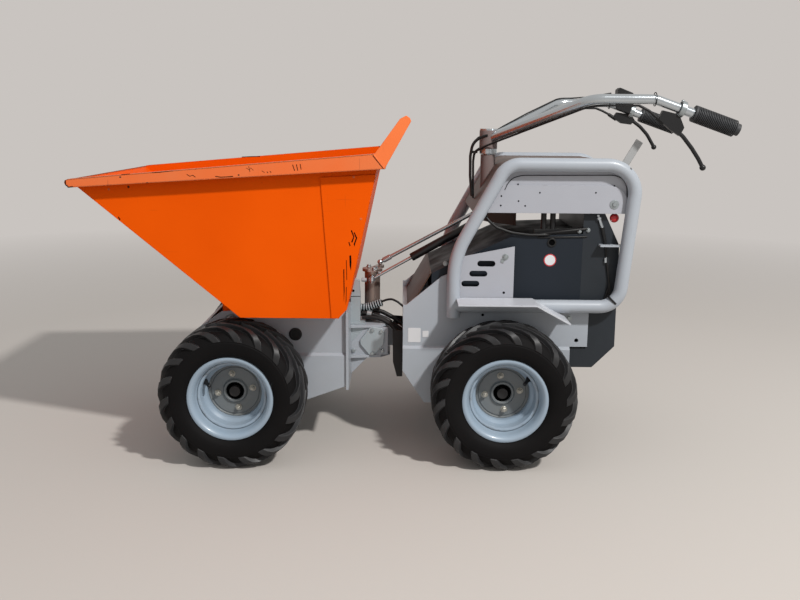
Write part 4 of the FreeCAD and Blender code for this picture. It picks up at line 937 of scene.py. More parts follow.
@dataclass(frozen=True)
class Wheel:
    """One wheel: a lugged tyre on a stepped rim, with its nuts, cap and valve."""

    corner: str
    x: float
    side: int
    nut_turn: float
    valve_turn: float
    lugs: int = 18
    bolt_circle: float = 100.0
    nuts: int = 4

    def build(self, effects: Effects) -> None:
        """Makes the wheel's pieces.

        Args:
            effects: The shared effect groups.
        """
        self._tyre(effects)
        self._rim(effects)
        self._hub(effects)

    def _spot(self, radius: float, out: float, turn: float) -> Point:
        """Gives a point of the wheel from its radius, its distance outwards and its turn from straight ahead."""
        angle = math.radians(turn)
        return (self.x + radius * math.cos(angle), self.side * (WHEEL_Y + out), WHEEL_R + radius * math.sin(angle))

    def _tyre(self, effects: Effects) -> None:
        """Makes the carcass and its two staggered rows of curved lugs."""
        piece = PieceMesh("tyre_tread_" + self.corner).paint(RUBBER)
        half = [(66.0, 104.0), (66.0, 110.0), (67.0, 118.0), (74.0, 122.0), (80.5, 135.0), (82.5, 150.0), (81.8, 161.0),
                (80.6, 162.5), (81.2, 165.0), (79.5, 167.0), (74.0, 178.0), (66.0, 186.0), (50.0, 190.0), (25.0, 191.0)]
        profile = half + [(0.0, 191.5)] + [(-y, r) for y, r in half[::-1]]
        profile += [(-60.0, 104.0), (60.0, 104.0)]
        piece.lathe([(self.side * y, r) for y, r in profile], self._spot(0.0, 0.0, 0.0), sides=96, looped=True)
        stations = [(0.0, 166.0, 82.2, 165.0, 78.0, 8.0), (2.0, 176.0, 82.4, 173.0, 75.0, 10.0),
                    (5.0, 188.0, 79.0, 181.0, 68.0, 11.0), (9.5, 197.0, 70.0, 185.0, 60.0, 11.0),
                    (16.0, 201.5, 54.0, 187.0, 50.0, 10.5), (27.0, 202.6, 32.0, 187.5, 30.0, 9.5),
                    (40.0, 203.0, 4.0, 188.0, 4.0, 8.0)]
        pitch = 360.0 / self.lugs
        # Carcass and lugs are one rubber, split into painted shade and painted light.
        piece.paint(LUGS_WITH_PAINTED_LIGHT)
        for half_side in (1, -1):
            for number in range(self.lugs):
                start = number * pitch + (pitch / 2 if half_side < 0 else 0.0)
                rings = []
                for turn, top_r, top_y, base_r, base_y, width in stations:
                    middle = start - turn
                    ring = []
                    for radius, out, half_width in ((base_r, base_y, width + 4.5), (top_r, top_y, width)):
                        spread = math.degrees(half_width / radius)
                        ring.append([self._spot(radius, half_side * out, middle + sign * spread) for sign in (-1, 1)])
                    (low_a, low_b), (high_a, high_b) = ring
                    rings.append([piece.corner(Vector(p)) for p in (low_a, high_a, high_b, low_b)])
                piece.skin(rings)
        piece.finish("wheel_" + self.corner, effects, bevel=1.0, slot="tyre_rubber",
                     replaces=("tyre_" + self.corner,))

    def _rim(self, effects: Effects) -> None:
        """Makes the stepped barrel with rolled lips, and the dished disc."""
        piece = PieceMesh("rim_dish_" + self.corner).paint(RIM_PAINT)
        lip = [(64.0, 118.0), (67.0, 119.5), (70.4, 118.0), (72.0, 114.0), (71.5, 110.0), (69.0, 106.5), (64.0, 102.5),
               (57.0, 99.5), (44.0, 98.0), (41.0, 96.5), (37.5, 89.0), (34.0, 87.4), (14.0, 86.6), (10.5, 84.5),
               (6.0, 78.0), (2.0, 76.2), (-12.0, 76.0)]
        back = [(-20.0, 76.0), (-30.0, 87.0), (-44.0, 98.0), (-64.0, 99.0), (-70.5, 106.0), (-71.5, 114.0),
                (-68.0, 118.5), (-66.0, 114.0), (-64.0, 103.5), (-46.0, 102.0), (-32.0, 91.0), (-22.0, 80.0),
                (6.0, 80.0), (14.0, 91.0), (38.0, 91.0), (44.0, 102.0), (62.0, 103.5), (64.5, 110.0)]
        piece.lathe([(self.side * y, r) for y, r in lip + back], self._spot(0.0, 0.0, 0.0), sides=72, looped=True)
        piece.paint(RIM_DISC)
        disc = [(-12.5, 77.0), (-11.2, 75.5), (-11.0, 73.0), (-13.2, 71.0), (-13.2, 68.5), (-11.2, 66.5), (-11.2, 36.0),
                (-8.5, 33.0), (-5.0, 31.5), (-5.0, 27.0), (-6.5, 25.5), (-13.0, 24.6), (-19.0, 24.6), (-19.0, 77.0)]
        piece.lathe([(self.side * y, r) for y, r in disc], self._spot(0.0, 0.0, 0.0), sides=72, looped=True)
        hub = [(-18.0, 15.0), (-18.0, 65.0), (-27.0, 65.0), (-30.5, 30.0), (-72.0, 30.0), (-72.0, 15.0)]
        piece.paint(AXLE_BLACK)
        piece.lathe([(self.side * y, r) for y, r in hub], self._spot(0.0, 0.0, 0.0), sides=48, looped=True)
        piece.finish("wheel_" + self.corner, effects, slot="rim_paint", replaces=("rim_" + self.corner,))

    def _hub(self, effects: Effects) -> None:
        """Makes the wheel nuts, the recessed cap and the valve."""
        out = (0.0, float(self.side), 0.0)
        # The cap's recess is flat black: painted shade deep in the recess.
        piece = PieceMesh("wheel_trim_" + self.corner).paint(BLACK_AND_PAINTED_SHADE)
        cap = [(-17.4, 0.0), (-17.4, 24.4), (-9.0, 24.4), (-8.0, 23.0), (-9.5, 21.0), (-16.6, 19.5), (-16.6, 0.0)]
        piece.lathe([(self.side * y, r) for y, r in cap], self._spot(0.0, 0.0, 0.0), sides=36)
        piece.paint(GOLD_ZINC)
        for number in range(self.nuts):
            spot = self._spot(self.bolt_circle / 2, -11.4, self.nut_turn + 360.0 * number / self.nuts)
            piece.lathe([(0, 0), (0, 9.5), (1.4, 9.5), (1.8, 9.0), (1.8, 0)], spot, out, 24)
            piece.lathe([(1.6, 0), (1.6, 7.4), (8.2, 7.4), (9.2, 6.2), (9.2, 0)], spot, out, 6, turn=17.0 * number)
            piece.lathe([(9.0, 0), (9.0, 3.9), (13.0, 3.9), (13.8, 3.2), (13.8, 0)], spot, out, 16)
        piece.paint(BLACK_PLASTIC)
        root = self._spot(85.0, 16.0, self.valve_turn)
        tip = self._spot(76.0, 26.0, self.valve_turn)
        way = Vector(tip) - Vector(root)
        piece.lathe([(-4, 0), (-4, 8.5), (3, 8.0), (8, 5.6), (16, 4.4), (16, 5.4), (27, 5.2), (28.5, 4.0), (28.5, 0)],
                    root, tuple(way.normalized()), 16)
        piece.finish("wheel_" + self.corner, effects, slot="rim_paint")


WHEELS = (Wheel("front_left", AXLE_X, 1, 81.0, 23.0), Wheel("front_right", AXLE_X, -1, 81.0, 23.0),
          Wheel("rear_left", -AXLE_X, 1, 83.0, 145.0), Wheel("rear_right", -AXLE_X, -1, 83.0, 145.0))


@dataclass(frozen=True)
class FrontFrame:
    """The front chassis with its pivot bracket, catch, plugs and fasteners."""

    cover: tuple[Flat, ...] = ((6.5, 334.2), (-3.0, 338.7), (-32.5, 333.6), (-39.1, 323.9), (-37.1, 284.4),
                               (-6.7, 248.0), (4.2, 247.9), (33.5, 283.8), (34.3, 297.2))
    cover_bolts: tuple[Flat, ...] = ((-3.0, 328.9), (-30.4, 324.7), (-32.8, 261.8), (-3.2, 256.1))
    catch: tuple[Flat, ...] = ((63.6, 344.0), (63.2, 455.7), (60.6, 476.9), (51.0, 483.0), (37.2, 478.0),
                               (33.7, 429.4), (34.7, 344.0))
    plug: Flat = (217.0, 342.0)

    def build(self, effects: Effects) -> None:
        """Dresses the front frame's nodes and adds its fasteners.

        Args:
            effects: The shared effect groups.
        """
        dress(GREY_PAINT, effects, "front_chassis", "pivot_bracket")
        dress(AXLE_BLACK, effects, "front_axle")
        dress(ZINC, effects, "hinge_pins", "articulation_pin")
        dress(POST_STEEL, effects, "steering_post")
        dress(BLACK_PLASTIC, effects, "skip_rests")
        covers = PieceMesh("pivot_side_covers").paint(COVER_ZINC)
        bolts = PieceMesh("front_fasteners").paint(ZINC)
        for side in (1.0, -1.0):
            covers.prism(rounded_outline(list(self.cover), 7.0), Plane.SIDE, side * 80.0, side * 87.0)
            for x, z in self.cover_bolts[:2] + self.cover_bolts[3:]:
                bolts.bolt((x, side * 87.0, z), (0, side, 0), across=12.0, head=6.0, washer=0.0, turn=x)
            bolts.bolt((self.cover_bolts[2][0], side * 80.0, self.cover_bolts[2][1]), (0, side, 0), 12.0, 6.0, 0.0)
            bolts.bolt((54.4, side * 80.0, 263.3), (0, side, 0), across=12.0, head=6.0, washer=0.0)
            bolts.bolt((405.0, side * 203.0, 386.0), (0, side, 0), across=19.0, head=7.0, washer=0.0)
            covers.prism([(63.0, 336.0), (4.0, 336.0), (63.0, 286.0)], Plane.SIDE, side * 74.0, side * 79.0)
        covers.finish("front_frame", effects, bevel=1.2, slot="zinc", replaces=("pivot_covers",))
        for x, y in ((12.3, -30.0), (-9.2, 0.0), (-5.6, 30.0)):
            bolts.bolt((x, y, 504.0), (0, 0, 1), across=13.0, head=6.0, washer=9.0, turn=y)
        bolts.bolt((-22.0, 62.0, 500.0), (0, 0, 1), across=11.0, head=5.0, washer=0.0)
        bolts.finish("front_frame", effects, slot="zinc")
        plugs = PieceMesh("front_plugs").paint(BLACK_PLASTIC)
        for side in (1.0, -1.0):
            plugs.lathe([(-1, 0), (-1, 19), (2.2, 19), (3.4, 17.4), (3.4, 12.5), (2.2, 11.5), (2.2, 0)],
                        (self.plug[0], side * 198.0, self.plug[1]), (0, side, 0), 40)
        plugs.finish("front_frame", effects, slot="black_plastic")
        self._catch(effects)

    def _catch(self, effects: Effects) -> None:
        """Makes the skip's catch: an upright plate with its foot, pin, hole and adjusting bolt."""
        catch = PieceMesh("skip_catch").paint(COVER_ZINC)
        catch.prism(rounded_outline(list(self.catch), 6.0), Plane.SIDE, 52.0, 72.0)
        catch.block((20.0, 38.0, 344.2), (66.0, 82.0, 350.0))
        catch.lathe([(-50, 0), (-50, 6), (-36, 6), (-34.8, 4.8), (-34.8, 0)], (66.0, 60.0, 479.0), (1, 0, 0), 20)
        # A black disc is painted shade for the catch's hole.
        catch.paint(BLACK_AND_PAINTED_SHADE).lathe([(0, 0), (0, 4.2), (0.4, 4.2), (0.4, 0)], (56.0, 72.0, 447.1), sides=20)
        catch.prism([(34.0, 429.0), (63.3, 428.0), (63.3, 430.0), (34.0, 431.0)], Plane.SIDE, 71.9, 72.3)
        catch.paint(BROWN_PAINT).block((60.0, 50.0, 350.0), (76.0, 66.0, 374.0))
        catch.paint(ZINC).bolt((70.0, 66.0, 393.8), (0, 1, 0), across=14.0, head=8.0, washer=9.0)
        catch.lathe([(0, 0), (0, 5), (22, 5), (22, 0)], (70.0, 58.0, 372.0), (0, 0, 1), 16)
        catch.finish("front_frame", effects, bevel=1.4, slot="zinc", replaces=("skip_latch",))


@dataclass(frozen=True)
class Skip:
    """The tipping skip with its worn rim, its spill guard and its scuffs."""

    guard: tuple[Flat, ...] = ((-15.0, 864.6), (-42.9, 828.5), (-110.8, 950.8), (-107.5, 959.0), (-97.9, 965.1),
                               (-82.0, 956.8))
    rim_scuffs: tuple[tuple[float, tuple[Flat, ...]], ...] = (
        (0.8, ((470.0, 811.0), (462.0, 806.0), (455.0, 809.0), (448.0, 804.0))),
        (1.0, ((396.0, 806.5), (382.0, 804.5), (366.0, 805.5), (350.0, 807.0))),
        (0.5, ((316.0, 829.0), (308.0, 824.0), (304.0, 829.0), (297.0, 823.0))),
        (0.6, ((309.0, 833.0), (306.0, 819.0))), (0.6, ((275.0, 822.0), (268.0, 817.0))),
        (0.8, ((262.0, 820.0), (259.0, 816.0))), (0.8, ((254.0, 821.0), (251.0, 817.0))),
        (0.9, ((195.0, 838.0), (190.0, 823.0))), (0.9, ((185.0, 839.0), (182.0, 823.0))),
        (0.9, ((175.5, 840.0), (173.0, 826.0))), (1.0, ((326.0, 856.5), (300.0, 858.0), (279.0, 858.5))),
        (0.7, ((560.0, 814.0), (540.0, 815.5), (505.0, 820.0))), (0.6, ((640.0, 809.0), (618.0, 811.0))),
        (1.5, ((787.0, 793.0), (786.5, 781.0), (780.0, 775.0), (768.0, 776.5))),
        (0.6, ((-12.0, 863.0), (-40.0, 829.0))))
    side_scuffs: tuple[tuple[Flat, ...], ...] = (
        ((44.0, 666.0), (46.5, 664.0), (40.0, 648.0), (45.5, 634.0), (42.5, 632.0), (37.0, 648.0)),
        ((36.5, 660.0), (39.0, 659.0), (33.0, 644.0), (39.0, 628.0), (36.5, 622.0), (35.0, 629.0), (29.5, 645.0)),
        ((51.0, 634.0), (53.0, 633.0), (49.5, 622.0), (47.5, 624.0)),
        ((46.0, 598.0), (50.5, 597.0), (50.0, 570.0), (46.5, 556.0), (45.0, 580.0)),
        ((58.0, 585.0), (59.5, 584.0), (58.5, 530.0), (57.0, 531.0)),
        ((64.5, 560.0), (67.0, 559.0), (66.0, 470.0), (64.0, 498.0)),
        ((58.5, 512.0), (60.0, 511.0), (61.0, 462.0), (59.0, 474.0)))

    def build(self, effects: Effects) -> None:
        """Dresses the skip's nodes and adds its spill guard and its marks.

        Args:
            effects: The shared effect groups.
        """
        dress(SKIP_PAINT, effects, "skip_shell", "skip_corners", "skip_hinges")
        dress(RIM_EDGE_PAINT, effects, "skip_rim")
        guard = PieceMesh("skip_spill_guard").paint(GUARD_PAINT)
        for side in (1.0, -1.0):
            guard.prism(list(self.guard), Plane.SIDE, side * 371.0, side * 375.4)
        guard.prism([(-42.9, 828.5), (-39.2, 829.5), (-106.8, 952.0), (-110.8, 950.8)], Plane.SIDE, -371.0, 371.0)
        guard.prism([(-110.8, 950.8), (-106.8, 950.8), (-95.5, 961.8), (-97.9, 965.1), (-107.5, 959.0)], Plane.SIDE,
                    -371.0, 371.0)
        guard.tube([(-14.0, 375.4, 866.0), (-28.0, 375.6, 848.0), (-43.0, 375.4, 829.0)], 1.8, 8)
        guard.finish("skip", effects, bevel=0.8, replaces=("spill_guard",))
        marks = PieceMesh("skip_marks").paint(BLACK_AND_PAINTED_SHADE)
        for radius, line in self.rim_scuffs:
            marks.tube([(x, 375.0, z) for x, z in line], radius, 6)
        for outline in self.side_scuffs:
            marks.prism(list(outline), Plane.SIDE, 346.0, 346.3)
        for x, z in ((664.1, 688.9),):
            marks.prism([(x - 5.0, z), (x, z + 7.0), (x + 2.0, z + 6.0), (x - 2.0, z - 3.0)], Plane.SIDE, 343.0, 343.3)
        marks.paint(RIM_EDGE_PAINT)
        for side in (1.0, -1.0):
            for x, y, z in ((685.9, 343.0, 768.1), (38.6, 346.0, 805.8), (19.6, 346.0, 696.0)):
                marks.lathe([(0, 0), (0, 3.2), (0.5, 3.2), (0.5, 0)], (x, side * y, z), (0, side, 0), 16)
        marks.finish("skip", effects)


@dataclass(frozen=True)
class Linkage:
    """The steering rod and the damper, and the hoses that cross the articulation."""

    def build(self, effects: Effects) -> None:
        """Dresses the linkage and lays the hoses.

        Args:
            effects: The shared effect groups.
        """
        dress(CHROME, effects, "steering_rod", "damper_rod")
        tube = PieceMesh("damper_body").paint(DAMPER_BLACK)
        tube.lathe([(16, 0), (16, 8), (24, 12.5), (250, 12.5), (254, 11.5), (254, 6.2), (240, 6.2), (240, 0)],
                   (-340.0, 62.0, 674.0), (0.870757, 0.0, -0.491716), 32)
        tube.lathe([(-10, 5.4), (-10, 11), (-9, 12), (9, 12), (10, 11), (10, 5.4)], (-340.0, 62.0, 674.0), sides=28,
                   looped=True)
        tube.finish("damper_tube", effects, slot="black_plastic", replaces=("damper_tube",))
        dress(ZINC, effects, "damper_anchor_pin")
        rear, front = (-88.0, 30.0, 400.0), (22.0, 30.0, 400.0)
        conduit = evened(bent_path([(36.0, 34.0, 389.0), (15.3, 34.0, 388.4), (-1.0, 34.0, 393.3),
                                    (-17.7, 34.0, 399.2), (-31.0, 34.0, 403.9)], 60.0, 8), 19)
        ribbed = PieceMesh("ribbed_conduit").paint(BLACK_AND_PAINTED_SHADE).tube(conduit, 9.5)
        ribbed.paint(COVER_ZINC)
        for before, spot, after in zip(conduit[::2], conduit[1::2], conduit[2::2]):
            way = Vector(after) - Vector(before)
            ribbed.lathe([(-2.0, 9.0), (-1.6, 12.0), (1.6, 12.0), (2.0, 9.0)], spot, tuple(way.normalized()), 20,
                         looped=True)
        ribbed.finish("rear_frame", effects, slot="black_plastic", span=("front_frame", rear, front))
        hoses = PieceMesh("joint_hoses").paint(CABLE_JACKET)
        hoses.tube(bent_path([(-28.0, 30.0, 405.0), (-45.0, 32.0, 412.0), (-61.7, 36.0, 415.1), (-80.0, 42.0, 407.0),
                              (-104.0, 48.0, 388.0)], 40.0), 3.4)
        hoses.tube(bent_path([(40.0, 36.0, 368.0), (26.3, 38.0, 371.5), (-9.0, 42.0, 365.0), (-44.5, 48.0, 354.0),
                              (-62.3, 52.0, 342.0), (-96.0, 56.0, 318.0)], 60.0), 8.0)
        hoses.tube(bent_path([(30.0, 52.0, 360.0), (0.0, 54.0, 362.0), (-30.0, 58.0, 356.0), (-58.0, 66.0, 342.0),
                              (-78.0, 74.0, 322.0), (-98.0, 80.0, 296.0)], 60.0), 6.0)
        hoses.tube(bent_path([(36.0, 20.0, 380.0), (5.0, 18.0, 378.0), (-30.0, 18.0, 372.0), (-70.0, 24.0, 352.0),
                              (-100.0, 30.0, 330.0)], 60.0), 7.0)
        hoses.paint(ZINC).lathe([(-7, 9.0), (-7, 11.5), (7, 11.5), (7, 9.0)], (8.0, 40.0, 369.0), (1, -0.1, 0.17), 20,
                                looped=True)
        hoses.finish("rear_frame", effects, slot="black_plastic", span=("front_frame", rear, front))


@dataclass(frozen=True)
class RearFrame:
    """The rear chassis with its covers, port, blank signs and fasteners."""

    hose: tuple[Point, ...] = ((-326.0, 193.0, 690.0), (-334.6, 196.5, 677.5), (-357.0, 197.0, 658.9),
                               (-401.3, 197.0, 643.5), (-451.7, 197.0, 637.7), (-495.5, 196.0, 638.1),
                               (-512.0, 188.0, 638.6))

    def build(self, effects: Effects) -> None:
        """Dresses the rear frame's nodes and adds its fasteners.

        Args:
            effects: The shared effect groups.
        """
        dress(GREY_PAINT, effects, "rear_chassis", "pivot_tongue")
        # The front slope takes the darker copy as painted shade.
        dress(SLOPE_WITH_PAINTED_SHADE, effects, "front_slope")
        dress(AXLE_BLACK, effects, "rear_axle")
        # The housing cover's top is darkened by painted shade from its finish.
        dress(SLATE, effects, "housing_cover")
        dress(SLATE_LOWER, effects, "rear_cover")
        dress(BATTERY_CASE, effects, "battery")
        dress(CABLE_JACKET, effects, "cover_cable")
        bolts = PieceMesh("rear_fasteners").paint(ZINC)
        holes = PieceMesh("rear_holes").paint(BLACK_AND_PAINTED_SHADE)
        for side in (1.0, -1.0):
            out = (0.0, side, 0.0)
            bolts.bolt((-575.0, side * 198.0, 397.6), out, across=12.0, washer=9.0)
            bolts.bolt((-214.8, side * 192.0, 552.6), out, across=9.0, head=4.0, washer=7.0)
            # Black discs are painted shade for the holes in the side plates.
            holes.lathe([(0, 0), (0, 4.0), (0.4, 4.0), (0.4, 0)], (-325.0, side * 206.0, 405.8), out, 20)
        bolts.finish("rear_frame", effects, slot="zinc")
        holes.finish("rear_frame", effects)
        # Black plates on both sides of the joint, where the front of the rear chassis shows dark.
        black_plates = PieceMesh("joint_black_plates").paint(AXLE_BLACK)
        for side in (1.0, -1.0):
            black_plates.prism([(-64.2, 333.5), (-95.0, 331.4), (-95.0, 187.2), (-78.0, 187.0), (-66.0, 233.8)], Plane.SIDE,
                        side * 98.0, side * 101.0)
        black_plates.finish("rear_frame", effects, bevel=0.6, slot="black_plastic")
        self._signs(effects)
        self._cover_trim(effects)

    def _signs(self, effects: Effects) -> None:
        """Makes the blank plates and the round blank sign on the left side."""
        signs = PieceMesh("blank_signs").paint(BLANK_PLATE)
        for x0, z0, x1, z1 in ((-110.3, 363.5, -147.0, 320.8), (-151.9, 355.3, -170.0, 336.1)):
            outline = rounded_outline([(x0, z0), (x1, z0), (x1, z1), (x0, z1)], 3.0)
            signs.prism(outline, Plane.SIDE, 198.0, 198.5)
        signs.lathe([(-0.3, 0), (-0.3, 15.0), (0.6, 15.0), (0.6, 0)], (-514.0, 192.0, 565.0), sides=36)
        signs.paint(SIGN_RED)
        signs.lathe([(-0.3, 15.0), (-0.3, 18.0), (0.6, 18.0), (0.6, 15.0)], (-514.0, 192.0, 565.0), sides=36,
                    looped=True)
        signs.finish("rear_frame", effects)

    def _cover_trim(self, effects: Effects) -> None:
        """Makes the hose, the port, the latch bar and the cable's ends on the housing."""
        trim = PieceMesh("cover_trim").paint(CABLE_JACKET).tube(bent_path(list(self.hose), 60.0), 4.25)
        trim.tube([(-470.0, 186.0, 639.7), (-480.0, 194.0, 640.7), (-610.0, 194.0, 655.5), (-623.0, 186.0, 657.0)], 3.6)
        trim.tube([(-470.0, 186.0, 630.0), (-480.0, 193.0, 630.0), (-612.0, 193.0, 633.0), (-623.0, 186.0, 633.0)], 2.6)
        trim.tube(bent_path([(-687.0, 195.3, 496.0), (-689.0, 196.0, 475.7), (-681.0, 196.0, 458.0),
                             (-676.0, 199.0, 451.0), (-686.0, 203.0, 440.0), (-694.7, 204.0, 431.6)], 14.0), 3.0)
        trim.paint(BLACK_PLASTIC)
        trim.lathe([(-0.5, 8.0), (-0.5, 13.0), (2.4, 13.0), (3.2, 12.0), (3.2, 9.0), (1.0, 8.0)],
                   (-517.0, 192.0, 616.0), sides=32, looped=True)
        trim.lathe([(0, 0), (0, 5.2), (3, 5.6), (46, 4.4), (50, 3.2), (50, 0)], (-657.5, 195.3, 661.0),
                   (-0.24, 0.0, -0.97), 18)
        # A black disc is painted shade in the port's opening.
        trim.paint(BLACK_AND_PAINTED_SHADE).lathe([(0, 0), (0, 8.2), (0.5, 8.2), (0.5, 0)], (-517.0, 192.0, 616.0), sides=24)
        trim.paint(CHROME)
        trim.lathe([(0, 0), (0, 4.2), (8, 4.2), (8, 6.4), (14, 6.4), (14, 4.4), (38, 4.4), (39.5, 3.2), (39.5, 0)],
                   (-643.4, 195.3, 696.8), (-0.366, 0.0, -0.93), 18)
        trim.lathe([(0, 0), (0, 4.4), (14, 4.4), (15, 3.2), (15, 0)], (-672.0, 195.3, 574.0), (-0.04, 0.0, -1.0), 16)
        trim.paint(ZINC)
        for x, z in ((-595.0, 648.6), (-619.6, 651.8)):
            trim.bolt((x, 192.0, z), across=9.0, head=4.0, washer=6.0, turn=x)
        trim.finish("rear_frame", effects, slot="black_plastic")


@dataclass(frozen=True)
class Guard:
    """The guard loops with the hood and the sheets between them."""

    panel_line: tuple[Flat, ...] = ((-376.0, 765.0), (-384.0, 784.0), (-398.0, 799.0), (-424.0, 806.0),
                                    (-680.0, 808.4), (-704.0, 800.0), (-716.0, 780.0), (-719.4, 747.5))
    dots: tuple[Flat, ...] = ((-412.5, 781.0), (-681.6, 779.0), (-367.2, 748.0), (-366.3, 721.6), (-415.7, 734.4),
                              (-434.7, 721.0), (-474.5, 758.2), (-631.1, 759.5))

    def build(self, effects: Effects) -> None:
        """Dresses the guard's nodes and adds its fasteners.

        Args:
            effects: The shared effect groups.
        """
        dress(GREY_PAINT, effects, "guard_loop_left", "guard_loop_right")
        # The fenders take the lighter copy of the paint as painted light.
        dress(FENDER_WITH_PAINTED_LIGHT, effects, "fender_left", "fender_right")
        dress(SHEET_PAINT, effects, "upper_panel_left", "upper_panel_right", "slotted_panel_left",
              "slotted_panel_right")
        dress(BROWN_PAINT, effects, "hood")
        # On the column this brownish grey is painted shade of its grey paint.
        dress(COLUMN_BROWN_AND_PAINTED_SHADE, effects, "column")
        dress(LEVER_STEEL, effects, "side_lever")
        dress(BLACK_PLASTIC, effects, "cover_latch")
        marks = PieceMesh("panel_gap_shade_and_spots").paint(BLACK_AND_PAINTED_SHADE)
        bolts = PieceMesh("panel_fasteners").paint(ZINC)
        for side in (1.0, -1.0):
            out = (0.0, side, 0.0)
            # A black line along the tube is painted shade in the gap between tube and panel.
            marks.tube(bent_path([(x, side * 210.1, z) for x, z in self.panel_line], 60.0), 1.1, 8)
            for x, z in self.dots:
                marks.lathe([(0, 0), (0, 2.4), (0.35, 2.4), (0.35, 0)], (x, side * 210.0, z), out, 14)
            marks.lathe([(0, 0), (0, 3.5), (0.4, 3.5), (0.4, 0)], (-382.0, side * 217.0, 474.0), out, 16)
            bolts.bolt((-684.7, side * 210.0, 727.0), out, across=13.0, head=5.0, washer=13.0)
            bolts.bolt((-383.4, side * 217.0, 576.9), out, across=12.0, head=5.0, washer=9.0)
            bolts.prism([(-372.0, 572.0), (-381.0, 568.0), (-378.0, 559.0), (-370.0, 562.0)], Plane.SIDE, side * 217.0,
                        side * 218.5)
        marks.finish("rear_frame", effects)
        bolts.finish("rear_frame", effects, slot="zinc")
        knob = PieceMesh("stop_button").paint(BLACK_PLASTIC)
        knob.lathe([(0, 0), (0, 9.0), (3, 9.0), (3, 6.0), (9, 6.0), (9, 0)], (-692.0, 176.0, 687.0), (0, 1, 0), 24)
        knob.paint(KNOB_RED)
        knob.lathe([(8, 0), (8, 8), (9, 11.5), (11, 13.0), (14, 13.0), (17, 11.5), (19.5, 8), (20.6, 4), (21, 0)],
                   (-692.0, 176.0, 687.0), (0, 1, 0), 32)
        knob.finish("rear_frame", effects, replaces=("stop_knob",))
        ring = PieceMesh("loop_tie").paint(BLACK_PLASTIC)
        ring.lathe([(-3.0, 19.2), (-3.0, 20.6), (3.0, 20.6), (3.0, 19.2)], (-692.0, 220.0, 453.6), (0.707, 0.0, -0.707),
                   32, looped=True)
        ring.finish("rear_frame", effects, slot="black_plastic")


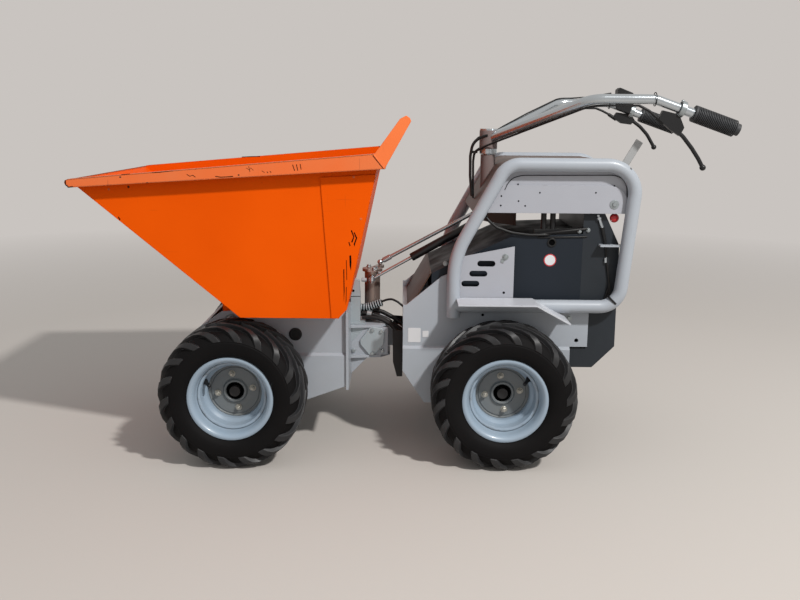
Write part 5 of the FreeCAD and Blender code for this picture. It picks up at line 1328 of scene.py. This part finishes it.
@dataclass(frozen=True)
class Steering:
    """The handlebar with its grips, levers, cables and switch box."""

    fall: float = 0.345
    sleeve: Flat = (872.0, 926.0)
    start: Flat = (-765.0, 1014.0)
    blades: tuple[tuple[float, tuple[Flat, ...]], ...] = (
        (260.0, ((-815.0, 940.0), (-845.0, 918.0), (-872.0, 886.0), (-892.0, 858.0), (-906.0, 834.0))),
        (-260.0, ((-815.0, 972.0), (-846.0, 957.0), (-870.0, 940.0), (-895.0, 914.0), (-920.0, 874.0))))

    def _on_grip(self, x: float, y: float) -> Point:
        """Gives the point of a sloping bar end above a place."""
        return (x, y, self.start[1] + (x - self.start[0]) * self.fall)

    def build(self, effects: Effects) -> None:
        """Dresses the handlebar's nodes and adds its controls.

        Args:
            effects: The shared effect groups.
        """
        dress(CHROME, effects, "handlebar", "steering_stem")
        dress(GRIP_RUBBER, effects, "grips")
        dress(CABLE_JACKET, effects, "bar_cables")
        self._controls(effects)
        self._cables(effects)

    def _controls(self, effects: Effects) -> None:
        """Makes the grips' ribs, the clamps, the perches and the curved blades."""
        way = (-1.0, 0.0, -self.fall)
        ribs = PieceMesh("grip_ribs").paint(GRIP_RUBBER)
        levers = PieceMesh("brake_levers").paint(BLACK_PLASTIC)
        for y, blade in self.blades:
            for number in range(25):
                ribs.lathe([(-2.1, 21.0), (-0.8, 22.95), (0.8, 22.95), (2.1, 21.0)],
                           self._on_grip(-874.0 - 4.5 * number, y), way, 28, looped=True)
            levers.paint(ZINC)
            levers.lathe([(-7, 17.6), (-7, 21), (-6, 22), (6, 22), (7, 21), (7, 17.6)], self._on_grip(-838.0, y),
                         way, 28, looped=True)
            levers.screw((-840.0, y, 1010.0), (0, 0, 1), 4.5)
            levers.paint(BLACK_PLASTIC)
            levers.prism([(-786.0, 985.0), (-830.0, 975.0), (-846.0, 940.0), (-835.0, 918.0), (-806.0, 936.0),
                          (-776.0, 962.0)] if y > 0 else
                         [(-790.0, 985.0), (-838.0, 978.0), (-850.0, 960.0), (-838.0, 946.0), (-806.0, 950.0),
                          (-778.0, 968.0)], Plane.SIDE, y - 8.0, y + 8.0)
            levers.tube(bent_path([(x, y, z) for x, z in blade], 60.0), 5.5)
            levers.ball((blade[-1][0], y, blade[-1][1]), 8.5)
        levers.finish("handlebar", effects, bevel=1.6, slot="black_plastic", replaces=("hand_levers",))
        switch = PieceMesh("switch_housing").paint(BLACK_PLASTIC)
        switch.prism([(-784.0, 996.0), (-787.0, 1058.0), (-795.0, 1063.0), (-836.0, 1047.0), (-841.0, 1038.0),
                      (-836.0, 978.0)], Plane.SIDE, -281.0, -240.0)
        for number in range(5):
            x, z = -794.0 - 8.5 * number, 1061.0 - 3.2 * number
            switch.block((x - 2.6, -279.0, z - 8.0), (x + 2.6, -242.0, z + 2.0))
        switch.finish("handlebar", effects, bevel=1.6, slot="black_plastic", replaces=("switch_box",))
        ribs.finish("handlebar", effects, slot="black_plastic")

    def _cables(self, effects: Effects) -> None:
        """Makes the adjusters, the collar, the ties and the cables down to the column."""
        fittings = PieceMesh("bar_fittings").paint(ZINC)
        fittings.lathe([(-9, 22.2), (-9, 25.0), (9, 25.0), (9, 22.2)], (-347.0, 0.0, 866.0), (0, 0, 1), 36, looped=True)
        fittings.paint(COLUMN_BROWN_AND_PAINTED_SHADE)
        fittings.lathe([(0, 25.4), (0, 26.8), (self.sleeve[1] - self.sleeve[0], 26.8),
                        (self.sleeve[1] - self.sleeve[0], 25.4)], (-347.0, 0.0, self.sleeve[0]), (0, 0, 1), 40,
                       looped=True)
        fittings.paint(BLACK_AND_PAINTED_SHADE)
        for y in (260.0, -260.0):
            fittings.lathe([(-0.9, 17.0), (-0.9, 18.6), (0.9, 18.6), (0.9, 17.0)], (-764.5, y, 1014.0), (-1, 0, 0), 32,
                           looped=True)
        fittings.paint(CABLE_JACKET)
        near = [(-790.0, 260.0, 950.0), (-770.0, 260.0, 968.0), (-750.0, 260.0, 984.0), (-723.0, 260.0, 997.0)]
        far = [(-790.0, -260.0, 962.0), (-762.0, -260.0, 980.0), (-742.0, -260.0, 990.0), (-723.0, -260.0, 997.0)]
        for path in (near, far):
            fittings.tube(bent_path(path, 40.0), 3.6)
            fittings.tube([path[0], tuple(Vector(path[0]).lerp(Vector(path[1]), 0.9))], 5.6)
        fittings.lathe([(-3.5, 9.5), (-3.5, 11.5), (3.5, 11.5), (3.5, 9.5)], (-304.0, 0.0, 862.0), (0, 0, 1), 24,
                       looped=True)
        thin = [(-770.0, -262.0, 1046.0), (-750.0, -263.0, 1043.0), (-720.0, -262.0, 1035.0), (-640.0, -261.0, 1029.0),
                (-597.0, -256.0, 1028.0), (-480.0, -140.0, 978.0), (-400.0, -58.0, 940.0), (-372.0, -32.0, 925.0)]
        fittings.tube(bent_path(thin, 60.0), 2.2, 10)
        fittings.finish("handlebar", effects, slot="black_plastic")
        runs = PieceMesh("cable_runs").paint(CABLE_JACKET)
        for side in (1.0, -1.0):
            path = [(-425.0, side * 83.8, 919.0), (-380.0, side * 55.0, 900.0), (-335.0, side * 30.0, 880.0),
                    (-306.0, side * 8.0, 862.0), (-303.0, side * 5.0, 835.0), (-305.0, side * 5.0, 724.0)]
            runs.tube(bent_path(path, 40.0), 3.0)
            path = [(-342.0, side * 27.2, 912.0), (-322.0, side * 20.0, 906.0), (-300.0, side * 9.0, 886.0),
                    (-294.0, side * 8.0, 850.0), (-295.0, side * 8.0, 790.0), (-301.0, side * 8.0, 730.0)]
            runs.tube(bent_path(path, 40.0), 3.6)
        runs.finish("handlebar", effects, slot="black_plastic",
                    span=("rear_frame", (-305.0, 0.0, 880.0), (-305.0, 0.0, 740.0)))


def main() -> None:
    """Builds the whole scene in order."""
    logging.basicConfig(level=logging.INFO, format="%(name)s: %(message)s", stream=sys.stdout)
    effects = Effects()
    View().build()
    Studio().build()
    for wheel in WHEELS:
        wheel.build(effects)
    for group in (FrontFrame(), Skip(), Linkage(), RearFrame(), Guard(), Steering()):
        group.build(effects)


if __name__ == "__main__":
    main()
